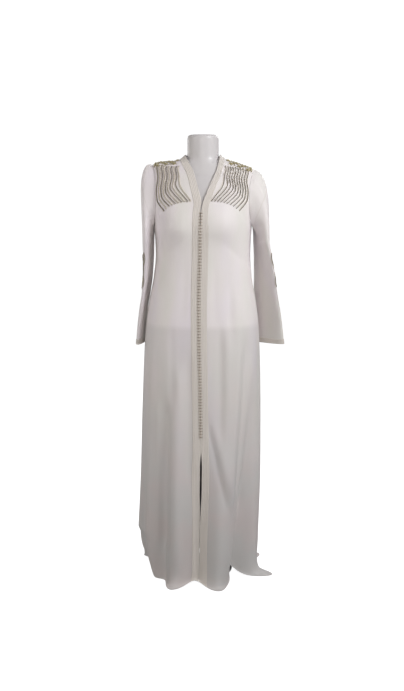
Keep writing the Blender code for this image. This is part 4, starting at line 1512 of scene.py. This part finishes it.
@dataclass
class Gown:
    """The five cloth panels: two fronts, the back and two sleeves."""

    shape: GownShape
    finishes: Finishes
    thick: float = 0.0018
    front_flat: tuple[float, float] = (0.33, 1.50)
    back_flat: tuple[float, float] = (0.62, 1.50)
    sleeve_flat: tuple[float, float] = (0.34, 0.60)
    fronts: dict[Side, ClothGrid] = field(default_factory=dict)
    sleeves: dict[Side, ClothGrid] = field(default_factory=dict)
    back: ClothGrid | None = None
    areas: tuple[float, float, float] = (0.386, 0.797, 0.147)

    def build(self) -> None:
        """Build every panel."""
        self.back = self.shape.back_grid()
        for side in Side:
            self.fronts[side] = self.shape.front_grid(side)
            self.sleeves[side] = self.shape.sleeve_grid(side, self.fronts[side], self.back)
        self.panel("crepe_back", ["back"], self.back)
        for side in Side:
            label = side.label
            node = f"front_{label}"
            self.panel(f"crepe_{node}", [node], self.fronts[side])
            node = f"sleeve_{label}"
            halves = [f"{node}_outer", f"{node}_inner"]
            self.panel(f"crepe_{node}", halves, self.sleeves[side])

    def panel(
        self, name: str, nodes: list[str], grid: ClothGrid
    ) -> None:
        """Build one panel as a thin closed wall.

        Args:
            name: The piece's name.
            nodes: The CAD nodes it stands for.
            grid: Its outer face.
        """
        made = wall_object(name, grid.points, grid.moved(-self.thick), grid, self.finishes.crepe)
        # Painted shade of the inside seen through the cloth: 0.1 throughout each sleeve, by height on
        # the other panels.
        inner_shade_paint = [0.1 if grid.edge is Edge.TUBE else self.shape.unbacked(v.co) for v in made.data.vertices]
        made.data.attributes.new("unbacked", "FLOAT", "POINT").data.foreach_set("value", inner_shade_paint)
        settle(made, "crepe", *nodes)


@dataclass
class Braids:
    """Woven braid along the front edges, round the neck and round the cuffs."""

    shape: GownShape
    gown: Gown
    finishes: Finishes
    gap: float = 0.0003
    thick: float = 0.0015
    cords: int = 5
    across_steps: int = 25
    neck_rows: int = 20
    neck_steps: int = 36
    neck_inset: float = 0.001
    neck_flare: float = 0.34
    neck_drop: float = 0.006
    neck_clear: float = 0.0009
    neck_behind: float = 0.0016
    cuff_width: float = 0.018
    cuff_rows: int = 12
    cuff_clear: float = 0.0004
    cuff_share: float = 0.6
    cuff_thin: float = 0.85

    def build(self) -> dict[Side, ClothGrid]:
        """Build every braid.

        Returns:
            The grids of the two front braids, for the buttons.
        """
        strips = {side: self.front(side) for side in Side}
        self.neck()
        for side in Side:
            self.cuff(side)
        return strips

    def ridge(self, share: float) -> float:
        """Height of the braid's lengthwise cords at a share across it."""
        round_top = abs(math.sin(math.pi * self.cords * share)) ** 0.7
        return self.thick * (0.45 + 0.55 * round_top)

    def raised(self, grid: ClothGrid, shares: list[float], along_rows: bool) -> Rows:
        """The top face of a braid, with its cords.

        Args:
            grid: The braid's underside.
            shares: Share across the braid of each row or column.
            along_rows: Whether the shares go by row.

        Returns:
            The raised points.
        """
        top = []
        for i, (row, line) in enumerate(zip(grid.points, grid.normals)):
            lifts = [self.ridge(shares[i] if along_rows else shares[j]) for j in range(len(row))]
            top.append([p + n * lift for p, n, lift in zip(row, line, lifts)])
        return top

    def front(self, side: Side) -> ClothGrid:
        """Braid on one front's edge and its side of the V.

        Args:
            side: Which front.

        Returns:
            The grid that it stands on.
        """
        grid = self.gown.fronts[side]
        count = self.shape.braid_columns
        shares = [k / (self.across_steps - 1) for k in range(self.across_steps)]
        points, normals = [], []
        for row, line in zip(grid.points, grid.normals):
            if side is Side.RIGHT:
                row, line = row[::-1], line[::-1]
            strip, facing = [], []
            for share in shares:
                i = min(int(share * count), count - 1)
                part = share * count - i
                strip.append(row[i].lerp(row[i + 1], part) + line[i].lerp(line[i + 1], part) * self.gap)
                facing.append(line[i].lerp(line[i + 1], part).normalized())
            if side is Side.RIGHT:
                strip, facing = strip[::-1], facing[::-1]
            points.append(strip)
            normals.append(facing)
        base = ClothGrid(points, Edge.CUT, normals)
        ordered = shares if side is Side.LEFT else shares[::-1]
        name = f"front_braid_{side.label}"
        top = self.raised(base, ordered, along_rows=False)
        made = wall_object(f"woven_{name}", top, points, base, self.finishes.braid)
        settle(made, "braid", name)
        return base

    def neck(self) -> None:
        """Braid round the back of the neck."""
        shape, tree = self.shape, self.gown.back.tree()
        facing = Vector((0.0, 0.6, 1.0))
        points, normals, shares = [], [], []
        for k in range(self.neck_rows + 1):
            share = k / self.neck_rows
            row, line = [], []
            for step in range(self.neck_steps, -self.neck_steps - 1, -1):
                turn = math.radians(90.0 * step / self.neck_steps)
                start = (shape.neck_side - self.neck_inset) * math.sin(turn)
                across = start * (1.0 + self.neck_flare * share)
                fall = shape.braid_width + self.neck_drop * (start / shape.neck_side) ** 2
                height = shape.back_top(start) - self.neck_inset - fall * share
                target = shape.bodice_point(across, height, behind=True)
                place, normal = laid(tree, target, facing)
                place.y = max(place.y, self.neck_behind)
                row.append(place + normal * self.neck_clear)
                line.append(normal)
            points.insert(0, row)
            normals.insert(0, line)
            shares.insert(0, share)
        base = ClothGrid(points, Edge.CUT, normals)
        top = self.raised(base, shares, along_rows=True)
        made = wall_object("woven_neck_braid", top, points, base, self.finishes.braid)
        self.turn_flat(made)
        settle(made, "braid", "neck_braid")

    def cuff(self, side: Side) -> None:
        """Narrow braid round one cuff.

        Args:
            side: Which sleeve.
        """
        grid = self.gown.sleeves[side]
        foot = SLEEVE_STATIONS[side][-1].height
        tree, count = grid.tree(), len(grid.points[0])
        points, normals, shares = [], [], []
        for k in range(self.cuff_rows + 1):
            share = k / self.cuff_rows
            height = foot + self.cuff_width * (1.0 - share)
            row, line = [], []
            for j in range(count):
                target = self.shape.sleeve_point(side, 360.0 * j / count, height)
                centre = self.shape.sleeves[side].at(height)
                middle = Vector((side.value * centre.out, centre.aside, height))
                place, normal = laid(tree, target, target - middle)
                place.z = height
                flat = Vector((normal.x, normal.y, 0.0)).normalized()
                row.append(place + flat * self.cuff_clear)
                line.append(flat)
            points.append(row)
            normals.append(line)
            shares.append(share)
        base = ClothGrid(points, Edge.TUBE, normals)
        top = [
            [p + n * self.ridge(share * self.cuff_share) * self.cuff_thin for p, n in zip(row, line)]
            for row, line, share in zip(points, normals, shares)
        ]
        name = f"cuff_braid_{side.label}"
        made = wall_object(f"woven_{name}", top, points, base, self.finishes.braid)
        self.turn_flat(made)
        settle(made, "braid", name)

    def turn_flat(self, made: Any) -> None:
        """Turn a braid's flat lengths a quarter, so that its cords run lengthwise."""
        for loop in made.data.uv_layers[0].data:
            loop.uv = (loop.uv[1], loop.uv[0])


# Knots, cords and beads.


@dataclass
class ButtonRow:
    """The knotted buttons and their loops, one above the other down the closure."""

    shape: GownShape
    finishes: Finishes
    count: int = 76
    start: float = 0.028
    foot: float = 0.523
    knot_radius: float = 0.0024
    knot_cord: float = 0.00105
    knot_heart: float = 0.0017
    knot_ahead: float = 0.0014
    loop_out: float = 0.0032
    loop_radius: float = 0.0023
    loop_cord: float = 0.0007
    ahead: float = 0.0022
    unevenness: float = 0.05

    def build(self, strips: dict[Side, ClothGrid]) -> None:
        """Model one button and copy it down the closure.

        Args:
            strips: The grids of the two front braids.
        """
        pattern = self.knot()
        top, copies = self.shape.v_point - self.start, []
        pitch = (top - self.foot) / self.count
        for k in range(self.count):
            height = top - pitch * (k + 0.5)
            middle = self.between(strips, height)
            turn = Matrix.Rotation(math.sin(k * 2.3) * self.unevenness, 4, "Y")
            copies.append(copied(pattern, f"knot_{k + 1}", Matrix.Translation(middle) @ turn))
        bpy.data.objects.remove(pattern)
        made = joined("knotted_buttons", copies, self.finishes.silk)
        settle(made, "buttons", "button_row")

    def between(self, strips: dict[Side, ClothGrid], height: float) -> Vector:
        """The place between the two front edges at a height."""
        left = [row[0] for row in strips[Side.LEFT].points]
        right = [row[-1] for row in strips[Side.RIGHT].points]
        i = max(n for n in range(len(left) - 1) if left[n].z <= height)
        share = (height - left[i].z) / (left[i + 1].z - left[i].z)
        low, high = (left[i] + right[i]) / 2, (left[i + 1] + right[i + 1]) / 2
        place = low.lerp(high, share)
        place.y -= self.ahead
        return place

    def knot(self) -> Any:
        """Model one ball knot with the loop that holds it, facing -Y at the origin.

        Returns:
            The pattern.
        """
        upright = math.pi / 2
        middle = (0.0, -self.knot_ahead, 0.0)
        radius = self.knot_radius - self.knot_cord * 0.5
        parts = []
        for lean, roll, spin in ((0.0, 0.6, 0.0), (0.0, -0.6, 0.9), (1.2, 0.3, 0.4)):
            parts.append(cord_ring(14, radius, self.knot_cord, (upright + lean, roll, spin), middle))
        for sign in (-1, 1):
            place = (sign * self.loop_out, 0.0, 0.0)
            loop = cord_ring(16, self.loop_radius, self.loop_cord, (upright, 0.0, 0.0), place)
            loop.scale = (1.25, 0.62, 1.0)
            parts.append(loop)
        parts.append(ball(10, 6, self.knot_heart, middle))
        return joined("knot_pattern", parts)


@dataclass
class CordPath:
    """A cord to lay: its points on the cloth with their normals."""

    points: list[Vector]
    normals: list[Vector]

    def add(self, tree: BVHTree, target: Vector, facing: Vector) -> None:
        """Lay one more point on the cloth, as near the target as it can be."""
        place, normal = laid(tree, target, facing)
        self.points.append(place)
        self.normals.append(normal)

    def beside(self, distance: float, lift: float) -> list[Vector]:
        """The path moved sideways on the cloth and lifted off it."""
        moved, last = [], len(self.points) - 1
        for k, (p, n) in enumerate(zip(self.points, self.normals)):
            ahead = self.points[min(k + 1, last)] - self.points[max(k - 1, 0)]
            moved.append(p + ahead.cross(n).normalized() * distance + n * lift)
        return moved


@dataclass
class CordWork:
    """How the couched cords are made: a twisted one with a thin one beside it."""

    finishes: Finishes
    bold: float = 0.0017
    thin: float = 0.0007
    apart: float = 0.0034
    pitch: float = 0.0021

    def strand(self) -> Any:
        """Model one turn of the twisted cord, lying along +X.

        Returns:
            The pattern.
        """
        made = ball(8, 6, 1.0)
        made.scale = (self.pitch * 0.92, self.bold * 0.62, self.bold)
        bpy.ops.object.transform_apply(location=False, rotation=False, scale=True)
        made.rotation_euler = (0.0, math.radians(38.0), math.radians(32.0))
        bpy.ops.object.transform_apply(location=False, rotation=True, scale=False)
        return made

    def guide(self, points: list[Vector]) -> Any:
        """A smooth guide curve through the points."""
        curve = bpy.data.curves.new("guide", "CURVE")
        curve.dimensions = "3D"
        curve.resolution_u = 6
        spline = curve.splines.new("POLY")
        spline.points.add(len(points) - 1)
        for target, point in zip(spline.points, points):
            target.co = (*point, 1.0)
        return linked("guide", curve)

    def twisted(self, name: str, points: list[Vector]) -> Any:
        """Lay the twisted cord along the points.

        Args:
            name: Name of the piece.
            points: Its centre line.

        Returns:
            The cord.
        """
        made, guide = self.strand(), self.guide(points)
        only(made)
        array = made.modifiers.new("turns", "ARRAY")
        array.fit_type = "FIT_CURVE"
        array.curve = guide
        array.use_relative_offset = False
        array.use_constant_offset = True
        array.constant_offset_displace = (self.pitch, 0.0, 0.0)
        bend = made.modifiers.new("lay", "CURVE")
        bend.object = guide
        bend.deform_axis = "POS_X"
        bpy.ops.object.modifier_apply(modifier=array.name)
        bpy.ops.object.modifier_apply(modifier=bend.name)
        bpy.data.objects.remove(guide)
        return joined(name, [made], self.finishes.gold)

    def smooth(self, name: str, points: list[Vector]) -> Any:
        """Lay the thin cord along the points.

        Args:
            name: Name of the piece.
            points: Its centre line.

        Returns:
            The cord.
        """
        guide = self.guide(points)
        guide.data.bevel_depth = self.thin
        guide.data.bevel_resolution = 1
        guide.data.use_fill_caps = True
        only(guide)
        bpy.ops.object.convert(target="MESH")
        return joined(name, [bpy.context.object], self.finishes.pale_gold)

    def lay(self, name: str, path: CordPath, node: str, pale: bool = False) -> None:
        """Lay a double cord and let it stand for its CAD strand.

        Args:
            name: Name of the piece.
            path: Where it lies.
            node: The strand that it stands for.
            pale: Whether the twisted cord is of the pale thread.
        """
        bold = self.twisted(f"{name}_twisted", path.beside(0.0, self.bold * 0.75))
        if pale:
            bold.data.materials[0] = self.finishes.pale_gold
        thin = self.smooth(f"{name}_thin", path.beside(self.apart, self.thin * 0.9))
        settle(bold, "gold_thread", node)
        settle(thin, "gold_thread")


@dataclass(frozen=True)
class CordRow:
    """Where a yoke cord starts and ends, across and in height, and where it bends."""

    top: float
    head: float
    foot: float
    foot_height: float
    bend: float


@dataclass
class YokeCords:
    """The fan of wavy double cords from the shoulder to the breast."""

    shape: GownShape
    gown: Gown
    work: CordWork
    strands: int = 10
    points: int = 64
    wave: float = 0.0024
    waves: float = 1.9
    sweep: float = 1.5
    inner: CordRow = CordRow(0.076, 1.418, 0.034, 1.3035, 1.383)
    outer: CordRow = CordRow(0.148, 1.407, 0.124, 1.274, 1.308)
    ease: CordRow = CordRow(1.0, 1.0, 1.0, 2.5, 0.65)

    def build(self, side: Side) -> None:
        """Lay the cords of one side.

        Args:
            side: Which front they lie on.
        """
        tree = self.gown.fronts[side].tree()
        for i in range(self.strands):
            path = self.path(side, tree, self.row(i / (self.strands - 1)))
            label = f"{side.label}_{i + 1}"
            pale = side is Side.RIGHT and i % 2 == 0
            self.work.lay(f"yoke_cord_{label}", path, f"yoke_strand_{label}", pale)

    def row(self, share: float) -> CordRow:
        """The cord a share of the way from the first to the last."""
        columns = zip(*(astuple(row) for row in (self.inner, self.outer, self.ease)))
        return CordRow(*(a + (b - a) * share**ease for a, b, ease in columns))

    def path(self, side: Side, tree: BVHTree, row: CordRow) -> CordPath:
        """The run of one cord on the cloth.

        Args:
            side: Which front.
            tree: Its surface.
            row: Its sizes.

        Returns:
            The path.
        """
        shape = self.shape
        crest = shape.shoulder_height(row.top)
        head = shape.share_of_rise(row.head, crest)
        foot = shape.share_of_rise(row.foot_height, crest)
        path = CordPath([], [])
        for k in range(self.points):
            run = k / (self.points - 1)
            height = shape.rise(head + (foot - head) * run, crest)
            swept = max(0.0, (row.bend - height) / (row.bend - row.foot_height))
            wave = self.wave * math.sin(2.0 * math.pi * self.waves * run)
            across = row.top + (row.foot - row.top) * swept**self.sweep + wave
            target = shape.bodice_point(side.value * across, height, behind=False)
            path.add(tree, target, Vector((0.0, -1.0, 1.0)))
        return path


@dataclass
class SleeveCords:
    """Short double cords on the outer face of each sleeve at the elbow."""

    shape: GownShape
    gown: Gown
    work: CordWork
    strands: int = 3
    points: int = 44
    top: float = 1.135
    foot: float = 1.020
    first: float = 71.0
    step: float = 28.0
    wave: float = 9.0
    waves: float = 1.4
    drop: float = 0.006

    def build(self, side: Side) -> None:
        """Lay the cords of one sleeve.

        Args:
            side: Which sleeve.
        """
        tree = self.gown.sleeves[side].tree()
        for i in range(self.strands):
            path = CordPath([], [])
            for k in range(self.points):
                run = k / (self.points - 1)
                height = self.top + (self.foot - self.top) * run - self.drop * i
                wave = self.wave * math.sin(2.0 * math.pi * self.waves * run)
                angle = self.first - self.step * i + wave
                target = self.shape.sleeve_point(side, angle, height)
                path.add(tree, target, Vector((side.value, -0.2, 0.0)))
            label = f"{side.label}_{i + 1}"
            self.work.lay(f"sleeve_cord_{label}", path, f"sleeve_strand_{label}")


@dataclass
class ShoulderTrims:
    """Clusters of gold petals and beads along the shoulder seams."""

    shape: GownShape
    gown: Gown
    finishes: Finishes
    start: float = 0.084
    end: float = 0.158
    flowers: int = 9
    petal: float = 0.0032
    bead: float = 0.0024
    drops: tuple[float, ...] = (0.0020, 0.0085, 0.0055)
    seeds: tuple[tuple[float, int, float], ...] = (
        (0.004, -1, 0.0110),
        (-0.003, -1, 0.0010),
        (0.001, -1, 0.0130),
        (0.004, 1, 0.0080),
        (-0.002, 1, 0.0105),
    )

    def flower(self) -> Any:
        """Model one flower of six petals round a bead, lying on the XY plane.

        Returns:
            The pattern.
        """
        parts = []
        for k in range(6):
            turn = math.radians(60.0 * k)
            petal = ball(10, 6, 1.0)
            petal.scale = (self.petal, self.petal * 0.62, self.petal * 0.42)
            petal.rotation_euler = (0.0, math.radians(-16.0), turn)
            reach = self.petal * 1.15
            petal.location = (reach * math.cos(turn), reach * math.sin(turn), 0.0012)
            parts.append(petal)
        parts.append(ball(12, 8, self.bead, (0.0, 0.0, 0.0022)))
        return joined("flower_pattern", parts)

    def seed(self) -> Any:
        """Model one small bead."""
        return joined("seed_pattern", [ball(10, 6, self.bead * 0.62, (0.0, 0.0, 0.0010))])

    def build(self, side: Side) -> None:
        """Sew the clusters along one shoulder.

        Args:
            side: Which shoulder.
        """
        trees = {-1: self.gown.fronts[side].tree(), 1: self.gown.back.tree()}
        flower, seed, copies = self.flower(), self.seed(), []
        for k in range(self.flowers):
            share = k / (self.flowers - 1)
            across = self.start + (self.end - self.start) * share
            reach = self.drops[k % len(self.drops)]
            size = 1.2 - 0.1 * (k % 3)
            copies.append(self.sewn(flower, side, trees, across, -1, reach, size, k * 0.7))
            copies.append(self.sewn(flower, side, trees, across, 1, 0.0036, 0.9, k * 0.4))
            for n, (shift, way, off) in enumerate(self.seeds):
                spot = min(self.end + 0.003, max(self.start - 0.003, across + shift))
                copies.append(self.sewn(seed, side, trees, spot, way, off, 1.1 - 0.1 * n, 0.0))
        bpy.data.objects.remove(flower)
        bpy.data.objects.remove(seed)
        made = joined(f"shoulder_flowers_{side.label}", copies, self.finishes.bead)
        settle(made, "gold_thread", f"shoulder_trim_{side.label}")

    def sewn(
        self,
        pattern: Any,
        side: Side,
        trees: dict[int, BVHTree],
        across: float,
        way: int,
        reach: float,
        size: float,
        turn: float,
    ) -> Any:
        """Copy a flower or bead onto the cloth beside the shoulder seam.

        Args:
            pattern: What is copied.
            side: Which shoulder.
            trees: Surfaces of the front and the back.
            across: Distance from the middle.
            way: -1 on the front, 1 on the back.
            reach: Distance from the seam, or on the front how far under it.
            size: Scale of the copy.
            turn: Turn about the normal.

        Returns:
            The copy.
        """
        height = self.shape.shoulder_height(across)
        if way < 0:
            target = self.shape.bodice_point(side.value * across, height - reach, behind=False)
        else:
            height += self.shape.lifted(side.value * across, height)
            target = Vector((side.value * across, reach, height))
        place, normal = laid(trees[way], target, Vector((0.0, 0.0, 1.0)))
        ahead = Vector((math.cos(turn), math.sin(turn), 0.0))
        spot = stand_on(place + normal * 0.0003, normal, ahead, size)
        return copied(pattern, f"sewn_{pattern.name}", spot)


# Form and stand.


@dataclass
class DressForm:
    """The limbless torso with its neck, a smooth glossy shell."""

    shape: GownShape
    finishes: Finishes
    sides: int = 96
    rings: int = 110
    end_reach: float = 0.45

    def build(self) -> None:
        """Shape a cylinder's rings to the form's sections."""
        profile = Profile(FORM_SECTIONS)
        foot, top = FORM_SECTIONS[0].height, FORM_SECTIONS[-1].height
        bpy.ops.object.select_all(action="DESELECT")
        bpy.ops.mesh.primitive_cylinder_add(
            vertices=self.sides,
            radius=0.15,
            depth=top - foot,
            location=(0.0, 0.0, (top + foot) / 2),
            end_fill_type="NGON",
        )
        made = bpy.context.object
        bpy.ops.object.transform_apply(location=True, rotation=True, scale=True)
        bpy.ops.object.mode_set(mode="EDIT")
        bpy.ops.mesh.select_mode(type="EDGE")
        bpy.ops.mesh.select_all(action="DESELECT")
        bpy.ops.object.mode_set(mode="OBJECT")
        for edge in made.data.edges:
            low, high = (made.data.vertices[i].co for i in edge.vertices)
            edge.select = abs(low.z - high.z) > 0.1
        bpy.ops.object.mode_set(mode="EDIT")
        bpy.ops.mesh.subdivide(number_cuts=self.rings - 2)
        bpy.ops.object.mode_set(mode="OBJECT")
        for vertex in made.data.vertices:
            share = (vertex.co.z - foot) / (top - foot)
            height = foot + (top - foot) * self.eased(share)
            vertex.co = self.on_section(profile.at(height), math.atan2(vertex.co.x, -vertex.co.y))
        shell = joined("torso_shell", [made], self.finishes.shell)
        bpy.ops.object.shade_smooth_by_angle(angle=math.radians(60.0))
        settle(shell, "form_shell", "form_torso")

    def eased(self, share: float) -> float:
        """Rings set closer at both ends, where the shell turns in."""
        return (1.0 - self.end_reach) * share + self.end_reach * smoothstep(share)

    def on_section(self, section: Section, turn: float) -> Vector:
        """The point of a section at a plan angle."""
        return Vector((*section.rim(turn, section.height, self.shape.bust), section.height))


@dataclass
class Stand:
    """Base plate, pole and flange: the CAD solids with brushed steel on them."""

    nodes: dict[str, Any]
    finishes: Finishes

    def build(self) -> None:
        """Give each solid its finish."""
        chosen = {
            "stand_base": self.finishes.plate,
            "stand_pole": self.finishes.pole,
            "stand_flange": self.finishes.plate,
        }
        for name, finish in chosen.items():
            made = self.nodes[name]
            made.data.materials.clear()
            made.data.materials.append(finish)
            LOG.info("%s: %d faces", name, len(made.data.polygons))


# Studio.


@dataclass(frozen=True)
class SoftLight:
    """One softbox: where it hangs, what it points at, its size and power."""

    name: str
    place: Colour
    target: Colour
    size: tuple[float, float]
    power: float
    tint: Colour = (1.0, 1.0, 1.0)

    def hang(self) -> None:
        """Hang the light."""
        data = bpy.data.lights.new(self.name, "AREA")
        data.shape = "RECTANGLE"
        data.size, data.size_y = self.size
        data.energy = self.power
        data.color = self.tint
        lamp = linked(self.name, data)
        lamp.location = self.place
        aim = Vector(self.target) - Vector(self.place)
        lamp.rotation_euler = aim.to_track_quat("-Z", "Y").to_euler()


COOL = (0.95, 0.965, 1.0)
WARM = (1.0, 0.965, 0.925)


@dataclass
class Studio:
    """The pale floor, the soft lights and the camera."""

    finishes: Finishes
    distance: float = 2.8
    azimuth: float = 3.0
    height: float = 1.3
    tilt: float = 0.172
    focal: float = 822.0
    frame: tuple[int, int] = (404, 691)
    dome: float = 14.0
    floor_gap: float = 0.0003
    ambient: float = 0.21
    lights: tuple[SoftLight, ...] = (
        SoftLight("key", (1.75, -1.35, 2.6), (0.0, 0.0, 1.3), (0.9, 0.9), 39.0, COOL),
        SoftLight("fill", (-2.0, -1.2, 1.7), (0.0, 0.0, 1.1), (1.0, 1.4), 9.0, WARM),
        SoftLight("front", (-0.1, -2.9, 1.8), (0.0, 0.0, 1.25), (1.4, 1.0), 11.5, WARM),
        SoftLight("low", (0.4, -3.0, 1.0), (0.0, 0.0, 0.95), (1.2, 1.0), 8.0),
        SoftLight("side_left", (2.6, -0.8, 0.95), (0.15, 0.0, 0.9), (1.0, 1.6), 8.5, WARM),
        SoftLight("side_right", (-2.6, -0.7, 0.95), (-0.15, 0.0, 0.9), (1.0, 1.6), 7.0, WARM),
        SoftLight("back", (1.2, 2.4, 2.5), (0.0, 0.0, 1.0), (1.4, 1.4), 22.0),
        SoftLight("back_fill", (-1.8, 1.9, 1.5), (0.0, 0.0, 0.7), (1.2, 1.2), 10.0),
    )

    def build(self) -> None:
        """Set up the whole studio."""
        self.floor()
        self.camera()
        for light in self.lights:
            light.hang()
        world = bpy.data.worlds.new("studio")
        world.use_nodes = True
        shell = world.node_tree.nodes["Background"]
        shell.inputs["Color"].default_value = (1.0, 1.0, 1.0, 1.0)
        shell.inputs["Strength"].default_value = self.ambient
        bpy.context.scene.world = world
        bpy.context.scene.view_settings.view_transform = "Standard"

    def floor(self) -> None:
        """Stand the gown on a round floor under a pale dome that lights nothing."""
        bpy.ops.object.select_all(action="DESELECT")
        made = ball(64, 32, self.dome)
        bpy.ops.object.mode_set(mode="EDIT")
        bpy.ops.mesh.select_all(action="SELECT")
        bpy.ops.mesh.bisect(
            plane_co=(0.0, 0.0, -self.floor_gap),
            plane_no=(0.0, 0.0, 1.0),
            use_fill=True,
            clear_inner=True,
        )
        bpy.ops.object.mode_set(mode="OBJECT")
        made.name = "studio_floor"
        made.data.materials.append(self.finishes.floor)
        made.visible_diffuse = False
        made.visible_glossy = False
        made.visible_transmission = False
        made.visible_shadow = False

    def camera(self) -> None:
        """Stand the camera at the photograph's viewing angle."""
        turn = math.radians(self.azimuth)
        data = bpy.data.cameras.new("camera")
        data.sensor_width = 36.0
        data.lens = 36.0 * self.focal / self.frame[1]
        data.shift_x = -1.0 / self.frame[1]
        made = linked("camera", data)
        reach = self.distance
        made.location = (reach * math.sin(turn), -reach * math.cos(turn), self.height)
        made.rotation_euler = (math.pi / 2 - self.tilt, 0.0, turn)
        bpy.context.scene.camera = made


def main() -> None:
    """Dress the frame, set up the studio and report each piece."""
    logging.basicConfig(level=logging.INFO, format="%(name)s %(message)s")
    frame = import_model()
    finishes = Finishes()
    shape = GownShape()
    Studio(finishes).build()
    gown = Gown(shape, finishes)
    gown.build()
    strips = Braids(shape, gown, finishes).build()
    ButtonRow(shape, finishes).build(strips)
    work = CordWork(finishes)
    yoke = YokeCords(shape, gown, work)
    elbow = SleeveCords(shape, gown, work)
    trims = ShoulderTrims(shape, gown, finishes)
    for side in Side:
        yoke.build(side)
        elbow.build(side)
        trims.build(side)
    DressForm(shape, finishes).build()
    Stand(frame["nodes"], finishes).build()
    bpy.context.view_layer.update()


if __name__ == "__main__":
    main()
